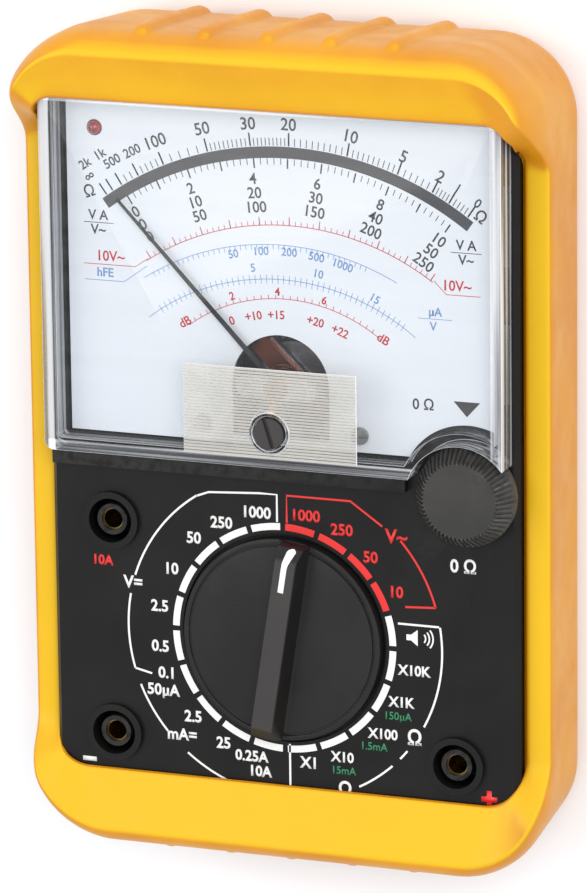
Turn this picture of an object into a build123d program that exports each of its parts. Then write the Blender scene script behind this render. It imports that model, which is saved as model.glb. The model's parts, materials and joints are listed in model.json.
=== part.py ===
from build123d import *
from math import cos, pi, radians, sin, tan
import os

os.makedirs("parts", exist_ok=True)

# An analog multimeter in a rubber holster, lying on its back.
# Millimetres. +Z comes out of the face, +Y points to the scale end, and the origin is on the
# resting plane under the middle of the holster.

# ---------------------------------------------------------------- clearances
STATIC_GAP = 0.2          # between pieces that never move against each other
MOVING_GAP = 0.3          # between pieces that pass each other
RUNNING_FIT = 0.05        # radial play of a shaft in its bore

# ---------------------------------------------------------------- case
CASE_WIDTH = 101.0
CASE_LENGTH = 151.6
CASE_CENTRE_Y = -1.0
CASE_TOP_Y = CASE_CENTRE_Y + CASE_LENGTH / 2
CASE_LOW_Y = CASE_CENTRE_Y - CASE_LENGTH / 2
CASE_CORNER = 9.0
CASE_BACK_ROUND = 4.5
WALL = 2.2
PANEL_Z = 32.0            # front surface of the panel
PANEL_THICKNESS = 2.4
PANEL_BEVEL = 1.2
SPLIT_Z = 14.0            # where the front and rear shells meet
RIDGE_HEIGHT = 2.0
RIDGE_LOW_Y = -5.6
RIDGE_RIGHT_X = 27.0

# ---------------------------------------------------------------- holster
HOLSTER_WIDTH = CASE_WIDTH + 2 * 5.7
HOLSTER_LENGTH = CASE_LENGTH + 2 * 10.2    # without the end ribs
HOLSTER_CORNER = 19.0
HOLSTER_FLOOR = 3.0
DRAFT = 8.0               # degrees the walls lean in towards the back
SHOULDER_Z = 30.0         # where the holster is widest
SIDE_WALL_Z = 29.0        # front edge of the side walls
TOP_CREST_Z = 42.6
BOTTOM_CREST_Z = 36.0
TOP_LIP_Y = CASE_TOP_Y - 3.9      # inner edge of the top bumper
BOTTOM_LIP_Y = CASE_LOW_Y + 6.7
TOP_CREST_Y = HOLSTER_LENGTH / 2 - 4.6
BOTTOM_CREST_Y = -HOLSTER_LENGTH / 2 + 3.4
LIP_THICKNESS = 1.2
BACK_ROUND = 7.0
CREST_ROUND = 4.2
RISE_LENGTH = 13.0        # length of the curve from side wall to bumper
RIB_PROUD = 1.4
RIB_WIDTH = 3.4
RIB_PITCH = 13.3
RIB_COUNT = 5
TOP_RIB_Z = 38.0
BOTTOM_RIB_Z = 29.6

# ---------------------------------------------------------------- window cover
WINDOW_WIDTH = CASE_WIDTH - 3.0
WINDOW_LOW_Y = -1.6
WINDOW_HIGH_Y = CASE_TOP_Y - 1.8
WINDOW_CORNER = 2.0
WINDOW_FACE_Z = 38.6
WINDOW_WALL = 2.1
WINDOW_PLATE = 2.0
NOTCH_RADIUS = 11.3       # the cover steps round the zero-ohm knob
CLIP_LENGTH = 16.0
CLIP_THICKNESS = 1.0
CLIP_DROP = 3.4
CLIP_YS = (22.0, 50.0)
PATCH_WIDTH = 37.0        # ribbed patch moulded in the cover over the movement
PATCH_LENGTH = 20.4
PATCH_RELIEF = 0.25

# ---------------------------------------------------------------- dial
DIAL_WIDTH = WINDOW_WIDTH - 7.0
DIAL_LOW_Y = 1.5
DIAL_HIGH_Y = WINDOW_HIGH_Y - 3.0
DIAL_TOP_Z = 32.2
DIAL_THICKNESS = 0.8
DIAL_CUTOUT_RADIUS = 10.4
DIAL_SCREW_X = 17.0
DIAL_SCREW_Y = 5.0
DIAL_SCREW_HEAD = 1.8
DIAL_SCREW_SHANK = 0.9

# ---------------------------------------------------------------- selector
SELECTOR = (0.0, CASE_LOW_Y + 37.8)
KNOB_RADIUS = 21.2
KNOB_WELL_RADIUS = 22.0
KNOB_WELL_DEPTH = 1.2
KNOB_DISC_Z = 33.6
KNOB_GROOVE_RADIUS = 20.2
GRIP_WIDTH = 7.0
GRIP_TOP_WIDTH = 4.4
GRIP_TOP_Z = 38.4
HUB_RADIUS = 4.6
SPINDLE_RADIUS = 3.0
POSITIONS = 20
REST_POSITION = 0.5       # steps clockwise of straight up, where the knob points
CARRIER_RADIUS = 12.6
CARRIER_LOW_Z = 22.8
CARRIER_HIGH_Z = 27.6
DETENT_Z = 25.4
DETENT_RING_OUTER = 16.6
BALL_RADIUS = 1.2
BALL_CENTRE = 13.3        # from the selector's axis, drawn back to pass between notches
BALL_TRAVEL = 0.7         # from there out to the bottom of a notch
BALL_PLAY = 0.12
CLIP_RING_RADIUS = 4.6
CLIP_RING_THICKNESS = 0.6

# ---------------------------------------------------------------- zero-ohm adjuster
OHM_KNOB = (CASE_WIDTH / 2 - 10.6, -5.3)
OHM_KNOB_BASE_RADIUS = 10.4
OHM_KNOB_FACE_RADIUS = 8.0
OHM_KNOB_SKIRT_Z = 34.2
OHM_KNOB_FACE_Z = 38.2
OHM_KNOB_TEETH = 56
OHM_KNOB_TOOTH_DEPTH = 0.45
OHM_SHAFT_RADIUS = 3.0
OHM_POT_RADIUS = 6.4
OHM_POT_HEIGHT = 5.6

# ---------------------------------------------------------------- jacks
JACK_LOW_Y = CASE_LOW_Y + 14.4
JACK_LEFT_X = 13.2 - CASE_WIDTH / 2
JACK_RIGHT_X = CASE_WIDTH / 2 - 13.6
JACK_PLACES = {"10a": (JACK_LEFT_X, JACK_LOW_Y + 45.2), "minus": (JACK_LEFT_X, JACK_LOW_Y), "plus": (JACK_RIGHT_X, JACK_LOW_Y)}
JACK_BORE_RADIUS = 2.0
JACK_TUBE_WALL = 0.6
JACK_SLEEVE_RADIUS = 3.25
JACK_RECESS_RADIUS = 4.65
JACK_LIP_RADIUS = 6.0
JACK_LIP_HEIGHT = 1.0
JACK_TUBE_LOW_Z = 15.0
JACK_TUBE_FLOOR = 1.0
JACK_TUBE_HIGH_Z = 31.0
JACK_FLANGE_RADIUS = 4.0

# ---------------------------------------------------------------- movement
PIVOT = (0.0, 14.0)
REST_ANGLE = 43.4         # pointer at the left zero, degrees anticlockwise of +Y
POINTER_LENGTH = DIAL_HIGH_Y - PIVOT[1] - 6.0
POINTER_Z = 33.4
POINTER_THICKNESS = 0.4
POINTER_TIP_WIDTH = 0.5
POINTER_ROOT_WIDTH = 1.1
POINTER_TAIL = 4.2
YOKE_OUTER = 14.4
YOKE_INNER = 11.4
CORE_RADIUS = 7.6
CORE_LOW_Z = 12.0
CORE_HIGH_Z = 24.0
COIL_GAP = 0.7            # between the core and the coil former
FORMER_THICKNESS = 0.6
FORMER_WIDTH = 5.0
WINDING_THICKNESS = 1.2
WINDING_WIDTH = 4.0
STAFF_RADIUS = 0.7
STAFF_TIP_RADIUS = 0.35
BASE_PLATE = 1.6
CUP_WALL = 1.8
CUP_FLOOR_Z = 7.6
CUP_FLOOR = 1.7
BRIDGE_POST_X = 7.0
BRIDGE_POST_RADIUS = 1.1
BRIDGE_LOW_Z = 34.2
BRIDGE_THICKNESS = 0.6
BRIDGE_WIDTH = 4.4
JEWEL_RADIUS = 1.2
JEWEL_HEAD_Z = 36.0
SPRING_STRIP = 0.15
SPRING_HEIGHT = 0.5
SPRING_PITCH = 0.7
SPRING_INNER = 1.1
SPRING_HALF_TURNS = 10
SPRING_ANCHOR_RADIUS = 0.4
UPPER_SPRING_Z = 30.2
LOWER_SPRING_Z = 8.5
WEIGHT_RADIUS = 0.6

# ---------------------------------------------------------------- mechanical zero
ZERO_SCREW = (0.0, 5.7)
ZERO_HEAD_RADIUS = 3.15
ZERO_RECESS_RADIUS = 3.6
ZERO_RING_RADIUS = 4.3
ZERO_RING_HEIGHT = 0.4
ZERO_SHANK_RADIUS = 1.6
ZERO_ECCENTRICITY = 0.8
ZERO_PIN_RADIUS = 0.45
ZERO_SLOT_WIDTH = 0.9
ZERO_SLOT_TILT = 17.0
ARM_LOW_Z = 34.95
ARM_THICKNESS = 0.5
FORK_PLAY = 0.14

# ---------------------------------------------------------------- circuit board
BOARD_WIDTH = CASE_WIDTH - 11.0
BOARD_LOW_Y = CASE_LOW_Y + 5.8
BOARD_HIGH_Y = 2.0
BOARD_LOW_Z = 19.4
BOARD_THICKNESS = 1.6
BOARD_POSTS = ((-28.0, SELECTOR[1] + 28.5), (21.0, SELECTOR[1] + 26.0), (-21.0, SELECTOR[1] - 23.0),
               (21.0, SELECTOR[1] - 23.0))
BOARD_POST_RADIUS = 2.6
BOARD_SCREW_RADIUS = 1.1
BOARD_SCREW_HEAD = 2.3

# ---------------------------------------------------------------- case screws
END_SCREW_X = 29.0
END_SCREW_Y = CASE_LOW_Y + 8.2
END_SCREWS = ((-END_SCREW_X, END_SCREW_Y), (END_SCREW_X, END_SCREW_Y))
SIDE_SCREW_X = CASE_WIDTH / 2 - 7.2
SIDE_SCREWS = ((-SIDE_SCREW_X, 10.0), (SIDE_SCREW_X, 10.0))
BOSS_WEB = 2.0            # joins a side boss to the wall
CASE_BOSS_RADIUS = 2.5
CASE_SCREW_RADIUS = 1.3
CASE_SCREW_HEAD = 2.4

# ---------------------------------------------------------------- cells, fuse and parts on the board
AA_RADIUS = 7.1
AA_LENGTH = 49.3
AA_NUB_RADIUS = 2.75
AA_NUB_LENGTH = 1.2
AA_CENTRE_X = 31.8 + WALL - CASE_WIDTH / 2
AA_YS = (CASE_TOP_Y - 12.0 - WALL - 2 * AA_RADIUS - 0.6, CASE_TOP_Y - 12.0 - WALL)
AA_Z = 13.0
CONTACT_THICKNESS = 0.5
CONTACT_SPRING_LENGTH = 2.6
CONTACT_PLATE = 10.0
CONTACT_WIRE = 0.45
BLOCK_CELL = (26.5, 46.4, 17.5)
BLOCK_CELL_GAP = 0.35      # to the movement's cup
FUSE_RADIUS = 2.6
FUSE_LENGTH = 20.0
FUSE_CENTRE = (0.0, SELECTOR[1] - 23.0, 14.6)
BUZZER_RADIUS = 7.0
BUZZER_HEIGHT = 6.0
BUZZER_CENTRE = (31.0, SELECTOR[1] + 3.0)
LEAD_RADIUS = 0.6
MOVEMENT_LEAD_X = 20.0
LAMP = (6.1 - DIAL_WIDTH / 2, DIAL_HIGH_Y - 5.5)
LAMP_RADIUS = 1.45
LAMP_TOP_Z = 33.4

# ---------------------------------------------------------------- worked out from the above
PANEL_BACK_Z = PANEL_Z - PANEL_THICKNESS
CASE_BACK_Z = HOLSTER_FLOOR + STATIC_GAP
BOARD_TOP_Z = BOARD_LOW_Z + BOARD_THICKNESS
STEP_ANGLE = 360.0 / POSITIONS
SELECTOR_REST = 90.0 - REST_POSITION * STEP_ANGLE
LEAN = tan(radians(DRAFT))
CASE_SCREWS = END_SCREWS + SIDE_SCREWS
WINDOW_INNER_Z = WINDOW_FACE_Z - WINDOW_PLATE
NOTCH_INNER = NOTCH_RADIUS + WINDOW_WALL
OPENING_HALF = WINDOW_WIDTH / 2 - WINDOW_WALL - 0.6
OPENING_LOW_Y = WINDOW_LOW_Y + WINDOW_WALL + 0.5
OPENING_HIGH_Y = WINDOW_HIGH_Y - WINDOW_WALL - 0.5
CUP_INNER = YOKE_OUTER + STATIC_GAP
CUP_OUTER = CUP_INNER + CUP_WALL
BLOCK_CELL_CENTRE = (CUP_OUTER + BLOCK_CELL_GAP + BLOCK_CELL[0] / 2, CASE_TOP_Y - 26.8 - 2 * WALL)
BLOCK_CELL_LOW_Z = CASE_BACK_Z + WALL + 0.8
FORMER_RADIUS = CORE_RADIUS + COIL_GAP
WINDING_RADIUS = FORMER_RADIUS + FORMER_THICKNESS
WINDING_TOP_Z = CORE_HIGH_Z + COIL_GAP + FORMER_THICKNESS + WINDING_THICKNESS
WINDING_LOW_Z = CORE_LOW_Z - COIL_GAP - FORMER_THICKNESS - WINDING_THICKNESS
POINTER_LOW_Z = POINTER_Z - POINTER_THICKNESS / 2
SPRING_OUTER = SPRING_INNER + SPRING_HALF_TURNS * SPRING_PITCH / 2
JACK_TUBE_RADIUS = JACK_BORE_RADIUS + JACK_TUBE_WALL
DETENT_RING_INNER = BALL_CENTRE + BALL_RADIUS + BALL_PLAY

BOTTOM = (Align.CENTER, Align.CENTER, Align.MIN)


# ---------------------------------------------------------------- helpers
def post(radius, low, high, at=(0, 0)):
    """Upright cylinder between two heights."""
    return Pos(at[0], at[1], low) * Cylinder(radius, high - low, align=BOTTOM)


def tube(outer, inner, low, high, at=(0, 0)):
    """Upright tube, open at both ends."""
    return post(outer, low, high, at) - post(inner, low, high, at)


def block(x_range, y_range, z_range):
    """Box between pairs of limits."""
    size = [r[1] - r[0] for r in (x_range, y_range, z_range)]
    middle = [(r[0] + r[1]) / 2 for r in (x_range, y_range, z_range)]
    return Pos(*middle) * Box(*size)


def lying_rod(radius, start, end):
    """Cylinder from one point to another."""
    start = Vector(*start)
    run = Vector(*end) - start
    return Plane(start, z_dir=run) * Cylinder(radius, run.length, align=BOTTOM)


def rounded_block(width, length, corner, low, high, centre_y=0.0):
    """Upright block with rounded corners in plan."""
    outline = Plane((0, centre_y, low)) * RectangleRounded(width, length, corner)
    return extrude(outline, amount=high - low)


def drafted_block(width, length, corner, low, high, centre_y=0.0):
    """Block whose walls lean in by DRAFT from its top down to its bottom."""
    outline = Plane((0, centre_y, high)) * RectangleRounded(width, length, corner)
    return extrude(outline, amount=high - low, dir=(0, 0, -1), taper=DRAFT)


def place(shape, at, angle=0.0):
    """Turn a shape about Z, then move it to a point in plan."""
    return Pos(at[0], at[1], 0) * Rot(0, 0, angle) * shape


def in_circle(radius, angle, centre=(0, 0)):
    """Point on a circle in plan."""
    return (centre[0] + radius * cos(radians(angle)), centre[1] + radius * sin(radians(angle)))


def bottom_edges(shape, height):
    """Edges that lie flat at a height."""
    return shape.edges().filter_by_position(Axis.Z, height - 0.01, height + 0.01)


def save(name, shape):
    """Write one node, as one solid or as a group of separate solids."""
    solids = shape.solids()
    export_step(solids[0] if len(solids) == 1 else Compound(children=list(solids)), f"parts/{name}.step")


# ---------------------------------------------------------------- holster
def holster_crown(crest_z, side):
    """Block above the shoulder on one half of the length, with a rounded crest."""
    crown = rounded_block(HOLSTER_WIDTH, HOLSTER_LENGTH, HOLSTER_CORNER, SHOULDER_Z, crest_z)
    crown = fillet(bottom_edges(crown, crest_z), CREST_ROUND)
    reach = (0, HOLSTER_LENGTH) if side > 0 else (-HOLSTER_LENGTH, 0)
    return crown & block((-HOLSTER_WIDTH, HOLSTER_WIDTH), reach, (0, 2 * crest_z))


def holster_side_view():
    """Everything under the line that runs up and down over both bumpers, across the whole width."""
    end = HOLSTER_LENGTH
    top_foot = TOP_LIP_Y - RISE_LENGTH / 2
    low_foot = BOTTOM_LIP_Y + RISE_LENGTH / 2
    back = Polyline((top_foot + RISE_LENGTH, TOP_CREST_Z + 1), (end, TOP_CREST_Z + 1), (end, -1),
                    (-end, -1), (-end, BOTTOM_CREST_Z + 1), (low_foot - RISE_LENGTH, BOTTOM_CREST_Z + 1))
    low_rise = Spline((low_foot - RISE_LENGTH, BOTTOM_CREST_Z + 1), (low_foot, SIDE_WALL_Z),
                      tangents=[(1, 0), (1, 0)])
    side = Line((low_foot, SIDE_WALL_Z), (top_foot, SIDE_WALL_Z))
    top_rise = Spline((top_foot, SIDE_WALL_Z), (top_foot + RISE_LENGTH, TOP_CREST_Z + 1),
                      tangents=[(1, 0), (1, 0)])
    outline = make_face(back + low_rise + side + top_rise)
    return extrude(Plane.YZ * outline, amount=HOLSTER_WIDTH, both=True)


def bumper_slope(lip_y, lip_z, crest_y, crest_z):
    """Wedge that cuts the sloping inner face of a bumper."""
    outline = make_face(Polyline((lip_y, lip_z), (crest_y, crest_z), (crest_y, crest_z + 5),
                                 (0, crest_z + 5), (0, lip_z), (lip_y, lip_z)))
    return extrude(Plane.YZ * outline, amount=CASE_WIDTH / 2 + STATIC_GAP, both=True)


def end_ribs(side, top_z):
    """Five upright ribs on one end face."""
    wide = drafted_block(HOLSTER_WIDTH, HOLSTER_LENGTH + 2 * RIB_PROUD, HOLSTER_CORNER, 0, SHOULDER_Z)
    wide += rounded_block(HOLSTER_WIDTH, HOLSTER_LENGTH + 2 * RIB_PROUD, HOLSTER_CORNER, SHOULDER_Z, TOP_CREST_Z)
    first = -RIB_PITCH * (RIB_COUNT - 1) / 2
    near = side * (HOLSTER_LENGTH / 2 - 8)
    far = side * HOLSTER_LENGTH
    ribs = Part()
    for number in range(RIB_COUNT):
        x = first + number * RIB_PITCH
        ribs += wide & block((x - RIB_WIDTH / 2, x + RIB_WIDTH / 2), sorted((near, far)), (HOLSTER_FLOOR, top_z))
    return ribs


def rubber_holster():
    body = drafted_block(HOLSTER_WIDTH, HOLSTER_LENGTH, HOLSTER_CORNER, 0, SHOULDER_Z)
    body = fillet(bottom_edges(body, 0), BACK_ROUND)
    body += holster_crown(TOP_CREST_Z, 1) + holster_crown(BOTTOM_CREST_Z, -1)
    body = body & holster_side_view()
    body += end_ribs(1, TOP_RIB_Z) + end_ribs(-1, BOTTOM_RIB_Z)
    gap = STATIC_GAP
    body -= drafted_block(CASE_WIDTH + 2 * gap, CASE_LENGTH + 2 * gap, CASE_CORNER, HOLSTER_FLOOR, PANEL_Z,
                          CASE_CENTRE_Y)
    body -= rounded_block(CASE_WIDTH + 2 * gap, CASE_LENGTH + 2 * gap, CASE_CORNER, PANEL_Z, PANEL_Z + gap,
                          CASE_CENTRE_Y)
    body -= rounded_block(WINDOW_WIDTH + 2 * gap, WINDOW_HIGH_Y + gap, WINDOW_CORNER, PANEL_Z,
                          WINDOW_FACE_Z + gap, (WINDOW_HIGH_Y + gap) / 2)
    body -= block((-CASE_WIDTH / 2 - gap, CASE_WIDTH / 2 + gap), (BOTTOM_LIP_Y, TOP_LIP_Y),
                  (SPLIT_Z, 2 * TOP_CREST_Z)) & rounded_block(CASE_WIDTH + 2 * gap, TOP_LIP_Y - BOTTOM_LIP_Y,
                                                              CASE_CORNER, SIDE_WALL_Z - 1, TOP_CREST_Z + 1,
                                                              (TOP_LIP_Y + BOTTOM_LIP_Y) / 2)
    body -= bumper_slope(TOP_LIP_Y, WINDOW_FACE_Z + gap + LIP_THICKNESS, TOP_CREST_Y, TOP_CREST_Z)
    body -= bumper_slope(BOTTOM_LIP_Y, PANEL_Z + gap + LIP_THICKNESS, BOTTOM_CREST_Y, BOTTOM_CREST_Z)
    return body


# ---------------------------------------------------------------- case shells
def case_outline(low, high, inset=0.0, drop=0.0):
    """Solid of the case between two heights, moved in by an inset; the walls follow the draft."""
    at_high = 2 * (PANEL_Z - high) * LEAN + 2 * inset
    return drafted_block(CASE_WIDTH - at_high, CASE_LENGTH - at_high, CASE_CORNER - inset / 2, low, high,
                         CASE_CENTRE_Y)


def boss_webs(thickness):
    """Upright webs between the side bosses and the wall."""
    webs = Part()
    for x, y in SIDE_SCREWS:
        reach = CASE_WIDTH / 2 if x > 0 else -CASE_WIDTH / 2
        webs += block(sorted((x, reach)), (y - thickness / 2, y + thickness / 2), (SPLIT_Z, PANEL_BACK_Z))
    return webs


def detent_ring():
    """Ring under the panel with a notch for each selector position."""
    ring = tube(DETENT_RING_OUTER, DETENT_RING_INNER, CARRIER_LOW_Z + 0.6, PANEL_BACK_Z)
    for number in range(POSITIONS):
        ring -= post(BALL_RADIUS + BALL_PLAY, CARRIER_LOW_Z, DETENT_Z + BALL_RADIUS + 0.6,
                     in_circle(BALL_CENTRE + BALL_TRAVEL, SELECTOR_REST + number * STEP_ANGLE))
    return place(ring, SELECTOR)


def window_opening(low, high, grow=0.0):
    """Hole for the dial, stepping round the zero-ohm knob."""
    hole = block((-OPENING_HALF - grow, OPENING_HALF + grow), (OPENING_LOW_Y - grow, OPENING_HIGH_Y + grow),
                 (low, high))
    return hole - post(NOTCH_INNER + 0.6 - grow, low, high, OHM_KNOB)


def clip_slots():
    """Places of the window cover's clips, as (x limits, y limits)."""
    inner = WINDOW_WIDTH / 2 - WINDOW_WALL / 2 - CLIP_THICKNESS / 2
    limits = []
    for y in CLIP_YS:
        for side in (-1, 1):
            xs = sorted((side * inner, side * (inner + CLIP_THICKNESS)))
            limits.append((xs, (y - CLIP_LENGTH / 2, y + CLIP_LENGTH / 2)))
    return limits


def panel_openings():
    """Everything that is cut through or into the panel."""
    cuts = window_opening(PANEL_BACK_Z - 1, PANEL_Z + RIDGE_HEIGHT + 1)
    cuts += post(KNOB_WELL_RADIUS, PANEL_Z - KNOB_WELL_DEPTH, PANEL_Z + 1, SELECTOR)
    cuts += post(HUB_RADIUS + MOVING_GAP, PANEL_BACK_Z - 1, PANEL_Z, SELECTOR)
    cuts += post(OHM_SHAFT_RADIUS + MOVING_GAP, PANEL_BACK_Z - 1, PANEL_Z + 1, OHM_KNOB)
    for at in JACK_PLACES.values():
        cuts += post(JACK_RECESS_RADIUS, BOARD_TOP_Z + 2.2, PANEL_Z + 5, at)
        cuts += post(JACK_SLEEVE_RADIUS, BOARD_TOP_Z, PANEL_Z, at)
    gap = STATIC_GAP
    for xs, ys in clip_slots():
        cuts += block((xs[0] - gap, xs[1] + gap), (ys[0] - gap, ys[1] + gap), (PANEL_BACK_Z - 1, PANEL_Z + 1))
    return cuts


def front_case():
    bevel_half = CASE_WIDTH - 2 * PANEL_BEVEL
    shell = case_outline(SPLIT_Z, PANEL_Z - PANEL_BEVEL)
    shell += loft([Plane((0, CASE_CENTRE_Y, PANEL_Z - PANEL_BEVEL)) *
                   RectangleRounded(CASE_WIDTH - 2 * PANEL_BEVEL * LEAN, CASE_LENGTH - 2 * PANEL_BEVEL * LEAN,
                                    CASE_CORNER),
                   Plane((0, CASE_CENTRE_Y, PANEL_Z)) *
                   RectangleRounded(bevel_half, CASE_LENGTH - 2 * PANEL_BEVEL, CASE_CORNER - PANEL_BEVEL)])
    ridge = block((-CASE_WIDTH / 2 + PANEL_BEVEL, RIDGE_RIGHT_X), (RIDGE_LOW_Y, WINDOW_LOW_Y - STATIC_GAP),
                  (PANEL_Z - 1, PANEL_Z + RIDGE_HEIGHT))
    shell += ridge
    shell -= case_outline(SPLIT_Z, PANEL_BACK_Z, WALL)
    for at in JACK_PLACES.values():
        shell += post(JACK_LIP_RADIUS, BOARD_TOP_Z + 0.8, PANEL_Z + JACK_LIP_HEIGHT, at)
    shell += boss_webs(BOSS_WEB) & case_outline(SPLIT_Z, PANEL_BACK_Z, WALL / 2)
    for at in CASE_SCREWS:
        shell += post(CASE_BOSS_RADIUS, SPLIT_Z, PANEL_BACK_Z, at)
        shell -= post(CASE_SCREW_RADIUS, SPLIT_Z, PANEL_BACK_Z - 4, at)
    for at in BOARD_POSTS:
        shell += post(BOARD_POST_RADIUS, BOARD_TOP_Z, PANEL_BACK_Z, at)
        shell -= post(BOARD_SCREW_RADIUS, BOARD_TOP_Z, PANEL_BACK_Z - 2, at)
    shell += detent_ring()
    return shell - panel_openings()


def rear_case():
    gap = STATIC_GAP
    outer = case_outline(CASE_BACK_Z, SPLIT_Z)
    outer = fillet(bottom_edges(outer, CASE_BACK_Z), CASE_BACK_ROUND)
    floor_z = CASE_BACK_Z + WALL
    shell = outer - case_outline(floor_z, SPLIT_Z, WALL)
    left = AA_CENTRE_X - AA_LENGTH / 2 - CONTACT_SPRING_LENGTH - CONTACT_THICKNESS - gap / 2
    right = AA_CENTRE_X + AA_LENGTH / 2 + CONTACT_SPRING_LENGTH + CONTACT_THICKNESS + gap / 2
    lows = AA_YS[0] - CONTACT_PLATE / 2
    highs = AA_YS[1] + CONTACT_PLATE / 2
    for x in ((left - 1.2, left), (right, right + 1.2)):
        shell += block(x, (lows, highs), (floor_z - 0.5, SPLIT_Z)) & case_outline(CASE_BACK_Z, SPLIT_Z, WALL / 2)
    for y in AA_YS:
        for x in (AA_CENTRE_X - 12, AA_CENTRE_X + 12):
            shell += block((x - 0.8, x + 0.8), (y - 5, y + 5), (floor_z - 0.5, AA_Z + gap)) - \
                lying_rod(AA_RADIUS + gap, (x - 2, y, AA_Z), (x + 2, y, AA_Z))
    for at in CASE_SCREWS:
        shell += post(CASE_BOSS_RADIUS + 0.8, floor_z - 0.5, SPLIT_Z, at) & case_outline(CASE_BACK_Z, SPLIT_Z, gap)
        shell -= post(CASE_SCREW_HEAD + gap, CASE_BACK_Z - 1, floor_z + 1.2, at)
        shell -= post(CASE_SCREW_RADIUS + gap, CASE_BACK_Z, SPLIT_Z + 1, at)
    return shell


# ---------------------------------------------------------------- window and dial
def window_cover():
    low = PANEL_Z
    length = WINDOW_HIGH_Y - WINDOW_LOW_Y
    middle = (WINDOW_HIGH_Y + WINDOW_LOW_Y) / 2
    cover = rounded_block(WINDOW_WIDTH, length, WINDOW_CORNER, low, WINDOW_FACE_Z, middle)
    cover -= post(NOTCH_RADIUS, low, WINDOW_FACE_Z + 1, OHM_KNOB)
    inner = rounded_block(WINDOW_WIDTH - 2 * WINDOW_WALL, length - 2 * WINDOW_WALL, 1.0, low, WINDOW_INNER_Z, middle)
    inner -= post(NOTCH_INNER, low, WINDOW_INNER_Z, OHM_KNOB)
    cover -= inner
    cover += block((-PATCH_WIDTH / 2, PATCH_WIDTH / 2), (WINDOW_LOW_Y + WINDOW_WALL, WINDOW_LOW_Y + PATCH_LENGTH),
                   (WINDOW_FACE_Z - 1, WINDOW_FACE_Z + PATCH_RELIEF))
    cover += post(ZERO_RING_RADIUS + 0.6, WINDOW_INNER_Z - 0.4, WINDOW_FACE_Z, ZERO_SCREW)
    cover += post(ZERO_RING_RADIUS, WINDOW_FACE_Z - 1, WINDOW_FACE_Z + PATCH_RELIEF + ZERO_RING_HEIGHT, ZERO_SCREW)
    cover -= post(ZERO_RECESS_RADIUS, WINDOW_FACE_Z - 0.9, WINDOW_FACE_Z + 3, ZERO_SCREW)
    cover -= post(ZERO_SHANK_RADIUS + RUNNING_FIT, WINDOW_INNER_Z - 2, WINDOW_FACE_Z, ZERO_SCREW)
    for xs, ys in clip_slots():
        cover += block(xs, ys, (PANEL_Z - CLIP_DROP, PANEL_Z + 1))
    return cover


def dial_outline(low, high, inset=0.0):
    """Plan of the dial and of the platform under it."""
    plate = block((-DIAL_WIDTH / 2 + inset, DIAL_WIDTH / 2 - inset), (DIAL_LOW_Y + inset, DIAL_HIGH_Y - inset),
                  (low, high))
    return plate - post(NOTCH_INNER + 0.8 + inset, low, high, OHM_KNOB)


def dial_plate():
    low = DIAL_TOP_Z - DIAL_THICKNESS
    plate = dial_outline(low, DIAL_TOP_Z)
    plate -= post(DIAL_CUTOUT_RADIUS, low, DIAL_TOP_Z, PIVOT)
    plate -= block((-DIAL_CUTOUT_RADIUS, DIAL_CUTOUT_RADIUS), (DIAL_LOW_Y + 1.5, PIVOT[1]), (low, DIAL_TOP_Z))
    plate -= post(LAMP_RADIUS + STATIC_GAP, low, DIAL_TOP_Z, LAMP)
    for side in (-1, 1):
        plate -= post(DIAL_SCREW_SHANK + STATIC_GAP, low, DIAL_TOP_Z, (side * DIAL_SCREW_X, DIAL_SCREW_Y))
    return plate


def slotted_screw(head_radius, shank_radius, seat_z, head_height, tip_z, at, up=1):
    """Round-headed screw with a slot; up=1 has its head above the seat, up=-1 below."""
    top = seat_z + up * head_height
    head = post(head_radius, min(seat_z, top), max(seat_z, top), at)
    shank = post(shank_radius, min(seat_z, tip_z), max(seat_z, tip_z), at)
    slot_low, slot_high = sorted((top, top - up * head_height / 2))
    slot = block((at[0] - head_radius, at[0] + head_radius), (at[1] - 0.3, at[1] + 0.3), (slot_low, slot_high))
    return head + shank - slot


def dial_screws():
    screws = Part()
    for side in (-1, 1):
        screws += slotted_screw(DIAL_SCREW_HEAD, DIAL_SCREW_SHANK, DIAL_TOP_Z, 0.8, PANEL_BACK_Z - 1.5,
                                (side * DIAL_SCREW_X, DIAL_SCREW_Y))
    return screws


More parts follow.
